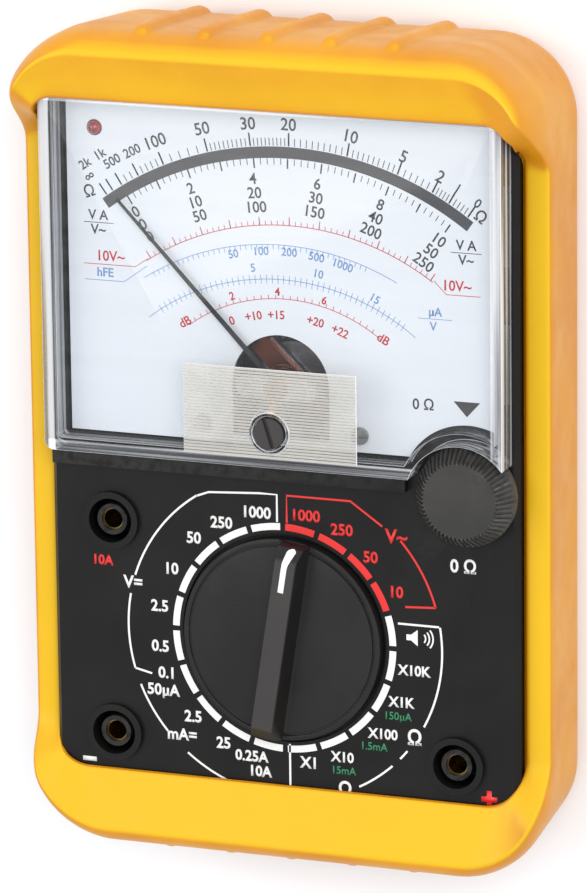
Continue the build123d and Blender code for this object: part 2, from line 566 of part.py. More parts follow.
# ---------------------------------------------------------------- movement
def movement_base():
    """Black carrier: a plate against the panel, a platform for the dial and a cup for the magnet."""
    dial_low = DIAL_TOP_Z - DIAL_THICKNESS
    half = OPENING_HALF + 0.7
    low_y = OPENING_LOW_Y - 1.2
    high_y = OPENING_HIGH_Y + 0.6
    base = rounded_block(2 * half, high_y - low_y, CASE_CORNER - 1, PANEL_BACK_Z - BASE_PLATE, PANEL_BACK_Z,
                         (low_y + high_y) / 2)
    base -= post(OHM_POT_RADIUS + 2, PANEL_BACK_Z - 2, PANEL_Z, OHM_KNOB)
    base += dial_outline(PANEL_BACK_Z, dial_low, 0.6)
    base += post(CUP_OUTER, CUP_FLOOR_Z - CUP_FLOOR, PANEL_BACK_Z, PIVOT)
    base -= post(CUP_INNER, CORE_LOW_Z, dial_low + 1, PIVOT)
    base -= post(YOKE_INNER, CUP_FLOOR_Z, CORE_LOW_Z + 1, PIVOT)
    for side in (-1, 1):
        base += post(BRIDGE_POST_RADIUS, CUP_FLOOR_Z, CORE_LOW_Z, (PIVOT[0] + side * BRIDGE_POST_X, PIVOT[1]))
        base -= post(DIAL_SCREW_SHANK, PANEL_BACK_Z - 2, DIAL_TOP_Z, (side * DIAL_SCREW_X, DIAL_SCREW_Y))
    base -= post(JEWEL_RADIUS, CUP_FLOOR_Z - CUP_FLOOR, CUP_FLOOR_Z, PIVOT)
    base -= post(LAMP_RADIUS + STATIC_GAP, PANEL_BACK_Z - 2, DIAL_TOP_Z, LAMP)
    for at in CASE_SCREWS:
        base -= post(CASE_BOSS_RADIUS + STATIC_GAP, PANEL_BACK_Z - 2, PANEL_BACK_Z, at)
    base -= boss_webs(BOSS_WEB + 2 * STATIC_GAP)
    for xs, ys in clip_slots():
        base -= block((xs[0] - STATIC_GAP, xs[1] + STATIC_GAP), (ys[0] - STATIC_GAP, ys[1] + STATIC_GAP),
                      (PANEL_Z - CLIP_DROP - STATIC_GAP, PANEL_Z))
    return base


def yoke_ring():
    return tube(YOKE_OUTER, YOKE_INNER, CORE_LOW_Z, CORE_HIGH_Z, PIVOT)


def core_magnet():
    core = post(CORE_RADIUS, CORE_LOW_Z, CORE_HIGH_Z, PIVOT)
    return chamfer(core.edges().filter_by(GeomType.CIRCLE), 0.4)


def upper_bridge():
    """Strip over the movement on two posts that stand on the core."""
    length = 2 * (BRIDGE_POST_X + BRIDGE_POST_RADIUS + 0.6)
    strip = rounded_block(length, BRIDGE_WIDTH, BRIDGE_WIDTH / 2 - 0.01, BRIDGE_LOW_Z,
                          BRIDGE_LOW_Z + BRIDGE_THICKNESS)
    strip -= post(JEWEL_RADIUS, BRIDGE_LOW_Z, BRIDGE_LOW_Z + BRIDGE_THICKNESS)
    for side in (-1, 1):
        strip += post(BRIDGE_POST_RADIUS, CORE_HIGH_Z, BRIDGE_LOW_Z, (side * BRIDGE_POST_X, 0))
    return place(strip, PIVOT)


def upper_jewel_screw():
    """Threaded jewel holder; the staff's tip runs in its blind hole."""
    low = BRIDGE_LOW_Z - 0.2
    screw = post(JEWEL_RADIUS, low, JEWEL_HEAD_Z, PIVOT)
    screw -= post(STAFF_TIP_RADIUS + RUNNING_FIT, low, low + 0.9, PIVOT)
    slot_x = (PIVOT[0] - JEWEL_RADIUS, PIVOT[0] + JEWEL_RADIUS)
    return screw - block(slot_x, (PIVOT[1] - 0.2, PIVOT[1] + 0.2), (JEWEL_HEAD_Z - 0.5, JEWEL_HEAD_Z))


def lower_jewel_screw():
    low = CUP_FLOOR_Z - CUP_FLOOR
    high = CUP_FLOOR_Z + 0.2
    screw = post(JEWEL_RADIUS, low, high, PIVOT)
    screw -= post(STAFF_TIP_RADIUS + RUNNING_FIT, high - 0.9, high, PIVOT)
    slot_x = (PIVOT[0] - JEWEL_RADIUS, PIVOT[0] + JEWEL_RADIUS)
    return screw - block(slot_x, (PIVOT[1] - 0.2, PIVOT[1] + 0.2), (low, low + 0.5))


def coil_frame(radius, thickness, width, low, high):
    """Rectangular loop in the YZ plane, turned to the rest position."""
    frame = block((-width / 2, width / 2), (-radius - thickness, radius + thickness), (low, high))
    frame -= block((-width / 2, width / 2), (-radius, radius), (low + thickness, high - thickness))
    return place(frame, PIVOT, REST_ANGLE)


def coil_former():
    return coil_frame(FORMER_RADIUS, FORMER_THICKNESS, FORMER_WIDTH, CORE_LOW_Z - COIL_GAP - FORMER_THICKNESS,
                      CORE_HIGH_Z + COIL_GAP + FORMER_THICKNESS)


def coil_winding():
    return coil_frame(WINDING_RADIUS, WINDING_THICKNESS, WINDING_WIDTH, WINDING_LOW_Z, WINDING_TOP_Z)


def pivot_staffs():
    """Upper and lower half-shafts, one standing on each end of the winding, with conical tips."""
    upper_tip = BRIDGE_LOW_Z - 0.2 + 0.7
    lower_tip = CUP_FLOOR_Z + 0.2 - 0.7
    staffs = post(STAFF_RADIUS, WINDING_TOP_Z, BRIDGE_LOW_Z - 0.5, PIVOT)
    staffs += post(STAFF_TIP_RADIUS, BRIDGE_LOW_Z - 0.5, upper_tip, PIVOT)
    staffs += post(STAFF_RADIUS, CUP_FLOOR_Z + 0.5, WINDING_LOW_Z, PIVOT)
    staffs += post(STAFF_TIP_RADIUS, lower_tip, CUP_FLOOR_Z + 0.5, PIVOT)
    return staffs


def pointer():
    """Tapered blade with a hub, a tail and two short side arms for the weights."""
    root = POINTER_ROOT_WIDTH / 2
    tip = POINTER_TIP_WIDTH / 2
    blade = make_face(Polyline((-root, 0), (-tip, POINTER_LENGTH), (tip, POINTER_LENGTH), (root, 0), (-root, 0)))
    arm = extrude(Plane.XY.offset(POINTER_LOW_Z) * blade, amount=POINTER_THICKNESS)
    high = POINTER_LOW_Z + POINTER_THICKNESS
    arm += block((-root, root), (-POINTER_TAIL, 0), (POINTER_LOW_Z, high))
    arm += block((-POINTER_TAIL + 0.6, POINTER_TAIL - 0.6), (-root / 1.5, root / 1.5), (POINTER_LOW_Z, high))
    arm += post(STAFF_RADIUS + 0.8, POINTER_LOW_Z - 0.3, high)
    arm -= post(STAFF_RADIUS, POINTER_LOW_Z - 1, high + 1)
    return place(arm, PIVOT, REST_ANGLE)


def balance_weights():
    """Small wound weights on the tail and the two side arms, hanging under the pointer."""
    weights = Part()
    for x, y in ((0, -POINTER_TAIL + 0.7), (-POINTER_TAIL + 1.3, 0), (POINTER_TAIL - 1.3, 0)):
        weights += post(WEIGHT_RADIUS, POINTER_LOW_Z - 0.8, POINTER_LOW_Z, (x, y))
    return place(weights, PIVOT, REST_ANGLE)


def spiral(height):
    """Flat spiral of half turns whose radius grows by half a pitch each time."""
    strip = Sketch()
    reach = SPRING_OUTER * 2
    for number in range(SPRING_HALF_TURNS):
        radius = SPRING_INNER + number * SPRING_PITCH / 2
        upper = number % 2 == 0
        ring = Circle(radius + SPRING_STRIP / 2) - Circle(radius - SPRING_STRIP / 2)
        half = ring & (Pos(0, reach / 2 if upper else -reach / 2) * Rectangle(2 * reach, reach))
        strip += Pos(0 if upper else SPRING_PITCH / 2, 0) * half
    return extrude(strip, amount=height)


def spring_collets():
    """Collars on the staffs inside the two hairsprings."""
    outer = SPRING_INNER - SPRING_STRIP / 2 - 0.1
    upper = tube(outer, STAFF_RADIUS, UPPER_SPRING_Z, UPPER_SPRING_Z + SPRING_HEIGHT, PIVOT)
    return upper + tube(outer, STAFF_RADIUS, LOWER_SPRING_Z, LOWER_SPRING_Z + SPRING_HEIGHT, PIVOT)


def hairspring(low):
    """Spiral with its outer end on -Y, where its anchor is."""
    return Pos(PIVOT[0], PIVOT[1], low) * Rot(0, 0, -90) * spiral(SPRING_HEIGHT)


def lower_spring_anchor():
    at = (PIVOT[0], PIVOT[1] - SPRING_OUTER - SPRING_STRIP / 2 - SPRING_ANCHOR_RADIUS)
    return post(SPRING_ANCHOR_RADIUS, CUP_FLOOR_Z, LOWER_SPRING_Z + SPRING_HEIGHT + 0.2, at)


# ---------------------------------------------------------------- mechanical zero
def zero_adjust_screw():
    """Slotted head, a shank through the window and an eccentric pin for the fork."""
    head_low = WINDOW_FACE_Z - 0.9 + 0.1
    head_high = WINDOW_FACE_Z + PATCH_RELIEF + ZERO_RING_HEIGHT + 0.2
    keeper_high = WINDOW_INNER_Z - 0.4 - 0.1
    keeper_low = keeper_high - 0.6
    screw = post(ZERO_HEAD_RADIUS, head_low, head_high)
    screw -= Rot(0, 0, ZERO_SLOT_TILT) * block((-ZERO_SLOT_WIDTH / 2, ZERO_SLOT_WIDTH / 2),
                                               (-ZERO_HEAD_RADIUS, ZERO_HEAD_RADIUS), (head_high - 0.7, head_high))
    screw += post(ZERO_SHANK_RADIUS, keeper_low, head_low)
    screw += post(ZERO_SHANK_RADIUS + 0.35, keeper_low, keeper_high)
    screw += post(ZERO_PIN_RADIUS, ARM_LOW_Z - 0.15, keeper_low, (0, -ZERO_ECCENTRICITY))
    return place(screw, ZERO_SCREW)


def zero_adjust_arm():
    """Ring round the upper jewel, a forked arm to the screw's pin and a drop leg to the spring."""
    high = ARM_LOW_Z + ARM_THICKNESS
    pin_y = ZERO_SCREW[1] - ZERO_ECCENTRICITY - PIVOT[1]
    ring = post(JEWEL_RADIUS + 1.3, ARM_LOW_Z, high)
    ring += block((-1.5, 1.5), (pin_y - 1.0, 0), (ARM_LOW_Z, high))
    slot = ZERO_PIN_RADIUS + FORK_PLAY
    ring -= block((-slot, slot), (pin_y - 2, pin_y + ZERO_PIN_RADIUS + 1.0), (ARM_LOW_Z, high))
    ring -= post(JEWEL_RADIUS + RUNNING_FIT, ARM_LOW_Z, high)
    leg_y = -SPRING_OUTER - SPRING_STRIP / 2 - SPRING_ANCHOR_RADIUS
    ring += post(SPRING_ANCHOR_RADIUS, UPPER_SPRING_Z - 0.2, ARM_LOW_Z, (0, leg_y))
    return place(ring, PIVOT)


# ---------------------------------------------------------------- selector
def grip_bar():
    """Bar across the disc: flat on top, leaning flanks, ends that slope down to the rim."""
    section = make_face(Polyline((-GRIP_WIDTH / 2, KNOB_DISC_Z - 1), (-GRIP_TOP_WIDTH / 2, GRIP_TOP_Z),
                                 (GRIP_TOP_WIDTH / 2, GRIP_TOP_Z), (GRIP_WIDTH / 2, KNOB_DISC_Z - 1),
                                 (-GRIP_WIDTH / 2, KNOB_DISC_Z - 1)))
    bar = extrude(Plane.XZ * section, amount=KNOB_RADIUS, both=True)
    side = make_face(Polyline((-KNOB_RADIUS, KNOB_DISC_Z - 1), (-KNOB_RADIUS + 0.6, GRIP_TOP_Z - 2.2),
                              (-KNOB_RADIUS + 3.4, GRIP_TOP_Z), (KNOB_RADIUS - 3.4, GRIP_TOP_Z),
                              (KNOB_RADIUS - 0.6, GRIP_TOP_Z - 2.2), (KNOB_RADIUS, KNOB_DISC_Z - 1),
                              (-KNOB_RADIUS, KNOB_DISC_Z - 1)))
    bar = bar & extrude(Plane.YZ * side, amount=GRIP_WIDTH, both=True)
    return bar & post(KNOB_RADIUS, 0, GRIP_TOP_Z + 1)


def selector_knob():
    """Disc with a grip bar, a hub through the panel and a keyed spindle down through the board."""
    low = PANEL_Z - KNOB_WELL_DEPTH + MOVING_GAP
    knob = post(KNOB_RADIUS, low, KNOB_DISC_Z)
    knob -= tube(KNOB_GROOVE_RADIUS, KNOB_GROOVE_RADIUS - 0.6, KNOB_DISC_Z - 0.4, KNOB_DISC_Z)
    knob += grip_bar()
    knob += post(HUB_RADIUS, CARRIER_HIGH_Z, low)
    knob += post(SPINDLE_RADIUS, BOARD_LOW_Z - 1.6, CARRIER_HIGH_Z)
    knob -= tube(SPINDLE_RADIUS, SPINDLE_RADIUS - 0.6, BOARD_LOW_Z - 1.0, BOARD_LOW_Z - 1.0 + CLIP_RING_THICKNESS)
    return place(knob, SELECTOR, SELECTOR_REST - 90)


def contact_carrier():
    """Disc on the spindle, with a radial bore at each end for a spring and a ball."""
    carrier = tube(CARRIER_RADIUS, SPINDLE_RADIUS, CARRIER_LOW_Z, CARRIER_HIGH_Z)
    for side in (-1, 1):
        carrier -= lying_rod(BALL_RADIUS + 0.1, (0, side * (HUB_RADIUS + 0.8), DETENT_Z),
                             (0, side * (CARRIER_RADIUS + 1), DETENT_Z))
    return place(carrier, SELECTOR, SELECTOR_REST - 90)


def detent_balls():
    balls = Part()
    for side in (-1, 1):
        balls += Pos(0, side * BALL_CENTRE, DETENT_Z) * Sphere(BALL_RADIUS)
    return place(balls, SELECTOR, SELECTOR_REST - 90)


def detent_springs():
    """Short helical springs behind the balls."""
    wire = 0.18
    radius = BALL_RADIUS - wire - 0.05
    start = HUB_RADIUS + 0.8 + wire
    length = BALL_CENTRE - BALL_RADIUS - start - 2 * wire - 0.02
    springs = []
    for side in (-1, 1):
        coil = Helix(pitch=length / 6, height=length, radius=radius)
        spring = sweep(Plane(coil @ 0, z_dir=coil % 0) * Circle(wire), path=coil)
        springs.append(Pos(0, side * start, DETENT_Z) * Rot(-90 * side, 0, 0) * spring)
    return place(Compound(children=springs), SELECTOR, SELECTOR_REST - 90)


def selector_contacts():
    """Bent brass fingers that bridge the tracks of the board, riveted under the carrier."""
    fingers = Part()
    for radius in (5.2, 7.6, 10.0):
        fingers += block((radius - 0.7, radius + 0.7), (-2.2, 2.2), (CARRIER_LOW_Z - 0.3, CARRIER_LOW_Z))
        fingers += block((radius - 0.7, radius + 0.7), (-2.6, -2.2), (BOARD_TOP_Z + 0.1, CARRIER_LOW_Z))
        fingers += block((radius - 0.7, radius + 0.7), (-2.2, 0.8), (BOARD_TOP_Z + 0.1, BOARD_TOP_Z + 0.4))
    fingers += block((4.5, 10.7), (0.8, 2.2), (CARRIER_LOW_Z - 0.3, CARRIER_LOW_Z))
    return place(fingers, SELECTOR, SELECTOR_REST - 90)


def selector_clip():
    """Split ring in the spindle's groove under the board."""
    low = BOARD_LOW_Z - 1.0
    ring = tube(CLIP_RING_RADIUS, SPINDLE_RADIUS - 0.6, low, low + CLIP_RING_THICKNESS)
    ring -= block((0, CLIP_RING_RADIUS + 1), (-1.2, 1.2), (low, low + CLIP_RING_THICKNESS))
    return place(ring, SELECTOR)


# ---------------------------------------------------------------- zero-ohm adjuster
def ohm_adjust_knob():
    """Thumb knob with a toothed, tapering rim."""
    low = PANEL_Z + MOVING_GAP
    knob = post(OHM_KNOB_BASE_RADIUS, low, OHM_KNOB_SKIRT_Z)
    knob += Pos(0, 0, OHM_KNOB_SKIRT_Z) * Cone(OHM_KNOB_BASE_RADIUS, OHM_KNOB_FACE_RADIUS,
                                               OHM_KNOB_FACE_Z - OHM_KNOB_SKIRT_Z, align=BOTTOM)
    groove = OHM_KNOB_BASE_RADIUS * pi / OHM_KNOB_TEETH / 2
    cutter = Part()
    for number in range(OHM_KNOB_TEETH):
        foot = (*in_circle(OHM_KNOB_BASE_RADIUS + groove - OHM_KNOB_TOOTH_DEPTH, 0), OHM_KNOB_SKIRT_Z)
        head = (*in_circle(OHM_KNOB_FACE_RADIUS + groove - OHM_KNOB_TOOTH_DEPTH, 0), OHM_KNOB_FACE_Z)
        lean = [(h - f) * 0.4 for f, h in zip(foot, head)]
        start = tuple(f - step for f, step in zip(foot, lean))
        end = tuple(h + step for h, step in zip(head, lean))
        cutter += Rot(0, 0, number * 360 / OHM_KNOB_TEETH) * lying_rod(groove, start, end)
    knob -= cutter
    knob += post(OHM_SHAFT_RADIUS + 1.5, low, OHM_KNOB_FACE_Z - 1)
    knob -= post(OHM_SHAFT_RADIUS, low - 1, OHM_KNOB_FACE_Z - 1.6)
    return place(knob, OHM_KNOB)


def potentiometer_shaft():
    low = BOARD_TOP_Z + OHM_POT_HEIGHT - 3.4
    return post(OHM_SHAFT_RADIUS, low, OHM_KNOB_FACE_Z - 1.6, OHM_KNOB)


def potentiometer_body():
    body = post(OHM_POT_RADIUS, BOARD_TOP_Z, BOARD_TOP_Z + OHM_POT_HEIGHT, OHM_KNOB)
    return body - post(OHM_SHAFT_RADIUS + RUNNING_FIT, BOARD_TOP_Z + OHM_POT_HEIGHT - 3.6,
                       BOARD_TOP_Z + OHM_POT_HEIGHT, OHM_KNOB)


# ---------------------------------------------------------------- jacks
def jack_sleeve(at):
    """Insulating post round the socket, with a lip over its mouth."""
    high = PANEL_Z - 0.2
    sleeve = tube(JACK_SLEEVE_RADIUS, JACK_TUBE_RADIUS, BOARD_TOP_Z + 0.8, JACK_TUBE_HIGH_Z, at)
    return sleeve + tube(JACK_SLEEVE_RADIUS, JACK_BORE_RADIUS + 0.3, JACK_TUBE_HIGH_Z, high, at)


def jack_socket(at):
    """Blind brass socket for a 4 mm plug, through the board, with a flange that rests on it."""
    socket = post(JACK_TUBE_RADIUS, JACK_TUBE_LOW_Z, JACK_TUBE_HIGH_Z, at)
    socket += post(JACK_FLANGE_RADIUS, BOARD_TOP_Z, BOARD_TOP_Z + 0.8, at)
    return socket - post(JACK_BORE_RADIUS, JACK_TUBE_LOW_Z + JACK_TUBE_FLOOR, JACK_TUBE_HIGH_Z, at)


# ---------------------------------------------------------------- circuit board and its parts
def circuit_board():
    high = BOARD_TOP_Z
    board = block((-BOARD_WIDTH / 2, BOARD_WIDTH / 2), (BOARD_LOW_Y, BOARD_HIGH_Y), (BOARD_LOW_Z, high))
    board -= post(CUP_OUTER + 0.8, BOARD_LOW_Z, high, PIVOT)
    board -= post(SPINDLE_RADIUS + MOVING_GAP, BOARD_LOW_Z, high, SELECTOR)
    for at in JACK_PLACES.values():
        board -= post(JACK_TUBE_RADIUS + 0.05, BOARD_LOW_Z, high, at)
    for at in BOARD_POSTS:
        board -= post(BOARD_SCREW_RADIUS + STATIC_GAP, BOARD_LOW_Z, high, at)
    for at in CASE_SCREWS:
        board -= post(CASE_BOSS_RADIUS + STATIC_GAP, BOARD_LOW_Z, high, at)
    corner = Part()
    for side in (-1, 1):
        corner += block(sorted((side * (BOARD_WIDTH / 2 - 4), side * BOARD_WIDTH)), (BOARD_LOW_Y - 1, BOARD_LOW_Y + 4),
                        (BOARD_LOW_Z, high))
    return board - corner


def board_screws():
    screws = Part()
    for at in BOARD_POSTS:
        screws += slotted_screw(BOARD_SCREW_HEAD, BOARD_SCREW_RADIUS, BOARD_LOW_Z, 1.4, BOARD_TOP_Z + 5, at, up=-1)
    return screws


def leaded(body, ends, leg):
    """A part with two bent legs that reach the back of the board."""
    for x in ends:
        body += lying_rod(leg, (x * 0.5, 0, 0), (x, 0, 0))
        body += post(leg, -leg, 2.6, (x, 0))
    return body


def resistor():
    rod = lying_rod(1.15, (-3.2, 0, 0), (3.2, 0, 0))
    return leaded(rod, (-4.6, 4.6), 0.3)


def resistors():
    """Three rows of resistors on the back of the board."""
    rows = Part()
    for row, y in enumerate((13.0, 20.0, -14.0)):
        for x in (-19.0, -7.0, 7.0, 19.0):
            angle = 90 if row == 2 else 0
            rows += Pos(x, SELECTOR[1] + y, BOARD_LOW_Z - 2.6) * Rot(0, 0, angle) * resistor()
    return rows


def diodes():
    pair = Part()
    for y in (SELECTOR[1] - 5.0, SELECTOR[1] - 9.0):
        body = leaded(lying_rod(0.9, (-2, 0, 0), (2, 0, 0)), (-3.4, 3.4), 0.25)
        pair += Pos(-13.0, y, BOARD_LOW_Z - 2.6) * body
    return pair


def trimmer():
    x, y = 12.5, SELECTOR[1] - 8.0
    body = block((x - 3, x + 3), (y - 3, y + 3), (BOARD_LOW_Z - 4, BOARD_LOW_Z))
    return body - post(1.6, BOARD_LOW_Z - 4, BOARD_LOW_Z - 3.2, (x, y))


def capacitor():
    return post(2.5, BOARD_LOW_Z - 8, BOARD_LOW_Z, (26.0, SELECTOR[1] + 17.0))


def shunt():
    """Thick resistance wire bent down into the board, between the 10 A and the minus sockets."""
    z = BOARD_LOW_Z - 4
    x = JACK_LEFT_X + 7.8
    ends = (SELECTOR[1] - 16, SELECTOR[1] + 14)
    bar = lying_rod(0.8, (x, ends[0], z), (x, ends[1], z))
    for y in ends:
        bar += post(0.8, z, BOARD_LOW_Z, (x, y))
        bar += Pos(x, y, z) * Sphere(0.8)
    return bar


def fuse_glass():
    x, y, z = FUSE_CENTRE
    half = FUSE_LENGTH / 2
    glass = lying_rod(FUSE_RADIUS - 0.3, (x - half + 0.4, y, z), (x + half - 0.4, y, z))
    return glass - lying_rod(FUSE_RADIUS - 0.9, (x - half, y, z), (x + half, y, z))


def fuse_caps():
    x, y, z = FUSE_CENTRE
    half = FUSE_LENGTH / 2
    caps = Part()
    for side in (-1, 1):
        outer = lying_rod(FUSE_RADIUS, (x + side * (half - 5), y, z), (x + side * half, y, z))
        caps += outer - lying_rod(FUSE_RADIUS - 0.3, (x + side * (half - 5), y, z), (x + side * (half - 0.4), y, z))
    return caps


def fuse_clips():
    """Springy cradles that hold the fuse by its caps."""
    x, y, z = FUSE_CENTRE
    clips = Part()
    for side in (-1, 1):
        xs = sorted((x + side * 5.8, x + side * 9.2))
        clip = block(xs, (y - FUSE_RADIUS - 0.6, y + FUSE_RADIUS + 0.6), (z - 2, BOARD_LOW_Z))
        clip -= block(xs, (y - FUSE_RADIUS + 0.8, y + FUSE_RADIUS - 0.8), (z - 3, BOARD_LOW_Z - 0.5))
        clip -= lying_rod(FUSE_RADIUS, (xs[0], y, z), (xs[1], y, z))
        clips += clip
    return clips


def buzzer():
    body = post(BUZZER_RADIUS, BOARD_LOW_Z - BUZZER_HEIGHT, BOARD_LOW_Z, BUZZER_CENTRE)
    return body - post(1.0, BOARD_LOW_Z - BUZZER_HEIGHT, BOARD_LOW_Z - BUZZER_HEIGHT + 1, BUZZER_CENTRE)


def continuity_lamp():
    """Domed lamp that stands in the dial."""
    dome_z = LAMP_TOP_Z - LAMP_RADIUS
    lamp = post(LAMP_RADIUS, PANEL_BACK_Z - 2.8, dome_z, LAMP)
    lamp += Pos(LAMP[0], LAMP[1], dome_z) * Sphere(LAMP_RADIUS)
    return lamp + post(LAMP_RADIUS + 0.45, PANEL_BACK_Z - 2.8, PANEL_BACK_Z - 1.7, LAMP)


# ---------------------------------------------------------------- power
def aa_cells():
    cells = Part()
    for y, side in zip(AA_YS, (1, -1)):
        end = AA_CENTRE_X + side * AA_LENGTH / 2
        cell = lying_rod(AA_RADIUS, (AA_CENTRE_X - side * AA_LENGTH / 2, y, AA_Z), (end, y, AA_Z))
        cells += cell + lying_rod(AA_NUB_RADIUS, (end, y, AA_Z), (end + side * AA_NUB_LENGTH, y, AA_Z))
    return cells


def cell_contacts():
    """Contacts at both ends of the cells: one long plate joins them on the right, two meet the leads
    on the left; each has a stud or a coned spring."""
    plates = Part()
    half = CONTACT_PLATE / 2
    for side in (-1, 1):
        face = AA_CENTRE_X + side * (AA_LENGTH / 2 + CONTACT_SPRING_LENGTH)
        xs = sorted((face, face + side * CONTACT_THICKNESS))
        spans = [(AA_YS[0] - half, AA_YS[1] + half)] if side > 0 else [(y - half, y + half) for y in AA_YS]
        for ys in spans:
            plates += block(xs, ys, (AA_Z - half, AA_Z + half))
        near_end = AA_CENTRE_X + side * (AA_LENGTH / 2 + 0.05)
        plus_y = AA_YS[0] if side > 0 else AA_YS[1]
        minus_y = AA_YS[1] if side > 0 else AA_YS[0]
        stud_end = near_end + side * AA_NUB_LENGTH
        plates += lying_rod(2.0, (stud_end, plus_y, AA_Z), (face, plus_y, AA_Z))
        for turn in range(3):
            x = near_end + side * (CONTACT_WIRE + turn * 1.8 * CONTACT_WIRE)
            plates += Pos(x, minus_y, AA_Z) * Rot(0, 90, 0) * Torus(3.0 + 0.3 * turn, CONTACT_WIRE)
    return plates


def block_cell():
    """Nine volt block with its two snap terminals at the lower end."""
    width, length, height = BLOCK_CELL
    x, y = BLOCK_CELL_CENTRE
    body = block((x - width / 2, x + width / 2), (y - length / 2, y + length / 2),
                 (BLOCK_CELL_LOW_Z, BLOCK_CELL_LOW_Z + height))
    body = fillet(body.edges().filter_by(Axis.Y), 1.5)
    z = BLOCK_CELL_LOW_Z + height / 2
    for side in (-1, 1):
        body += lying_rod(2.8, (x + side * 6.35, y - length / 2 - 1.9, z), (x + side * 6.35, y - length / 2, z))
    return body


def block_cell_snap():
    """Snap connector that covers the two terminals."""
    width, length, height = BLOCK_CELL
    x, y = BLOCK_CELL_CENTRE
    z = BLOCK_CELL_LOW_Z + height / 2
    face = y - length / 2 - 0.1
    cap = block((x - 10.8, x + 12.0), (face - 3.2, face), (z - 5.5, z + 5.5))
    cap = fillet(cap.edges().filter_by(Axis.Y), 2.0)
    for side in (-1, 1):
        cap -= lying_rod(2.85, (x + side * 6.35, face - 2.0, z), (x + side * 6.35, face + 1, z))
    return cap


def lead(points, radius):
    """Insulated wire along a path of straight runs with tangent arcs."""
    runs = [Vector(*b) - Vector(*a) for a, b in zip(points, points[1:])]
    arcs = []
    for before, after in zip(runs, runs[1:]):
        turn = radians(before.get_angle(after))
        arcs.append(0.42 * min(before.length, after.length) / tan(turn / 2))
    path = FilletPolyline(*points, radius=arcs)
    return sweep(Plane(path @ 0, z_dir=path % 0) * Circle(radius), path=path)


def block_cell_leads():
    """From the snap connector to the back of the board."""
    y_start = BLOCK_CELL_CENTRE[1] - BLOCK_CELL[1] / 2 - 3.3
    z = BLOCK_CELL_LOW_Z + BLOCK_CELL[2] / 2
    pair = Part()
    for x in (BLOCK_CELL_CENTRE[0] - 7, BLOCK_CELL_CENTRE[0] - 4):
        low_y = BOARD_HIGH_Y - 5
        pair += lead([(x, y_start, z), (x, low_y + 4, z), (x, low_y, z + 1.8), (x, low_y, BOARD_LOW_Z)], LEAD_RADIUS)
    return pair


def cell_leads():
    """From the two left contacts, beside the movement, to the board."""
    x = AA_CENTRE_X - AA_LENGTH / 2 - CONTACT_SPRING_LENGTH - CONTACT_THICKNESS / 2
    plate_end = AA_YS[0] - CONTACT_PLATE / 2
    low_y = BOARD_HIGH_Y - 4
    minus = lead([(x, plate_end, AA_Z), (x, plate_end - 4, AA_Z), (x + 6, plate_end - 12, AA_Z),
                  (x + 6, low_y + 6, AA_Z), (x + 6, low_y, AA_Z + 2), (x + 6, low_y, BOARD_LOW_Z)], LEAD_RADIUS)
    plate_top = AA_Z + CONTACT_PLATE / 2
    over = BOARD_TOP_Z + 1.2
    start_y = AA_YS[1] - CONTACT_PLATE / 4
    plus = lead([(x, start_y, plate_top), (x, start_y, over - 1), (x + 3, start_y - 4, over + 1),
                 (x + 9, start_y - 14, over + 1), (x + 9, low_y + 5, over + 1), (x + 9, low_y, over - 0.5),
                 (x + 9, low_y, BOARD_TOP_Z)], LEAD_RADIUS)
    return minus + plus


def lamp_leads():
    """Two thin wires from the lamp to the front of the board."""
    start_z = PANEL_BACK_Z - 2.8
    low_y = BOARD_HIGH_Y - 3
    run_z = BOARD_TOP_Z + 4.4
    pair = Part()
    for side in (-1, 1):
        x = LAMP[0] + side * 0.8
        pair += lead([(x, LAMP[1], start_z), (x, LAMP[1], run_z), (x, LAMP[1] - 4, run_z - 0.6),
                      (x, low_y + 5, run_z - 0.6), (x, low_y, run_z - 2), (x, low_y, BOARD_TOP_Z)], LEAD_RADIUS * 0.6)
    return pair


def movement_leads():
    """Two stiff wires that stand on the board and reach the movement's plate."""
    pair = Part()
    for side in (-1, 1):
        pair += post(LEAD_RADIUS, BOARD_TOP_Z, PANEL_BACK_Z - BASE_PLATE, (side * MOVEMENT_LEAD_X, BOARD_HIGH_Y - 1.2))
    return pair


def case_screws():
    screws = Part()
    seat = CASE_BACK_Z + WALL + 1.2
    for at in CASE_SCREWS:
        screws += slotted_screw(CASE_SCREW_HEAD, CASE_SCREW_RADIUS, seat, 1.8, SPLIT_Z + 8, at, up=-1)
    return screws


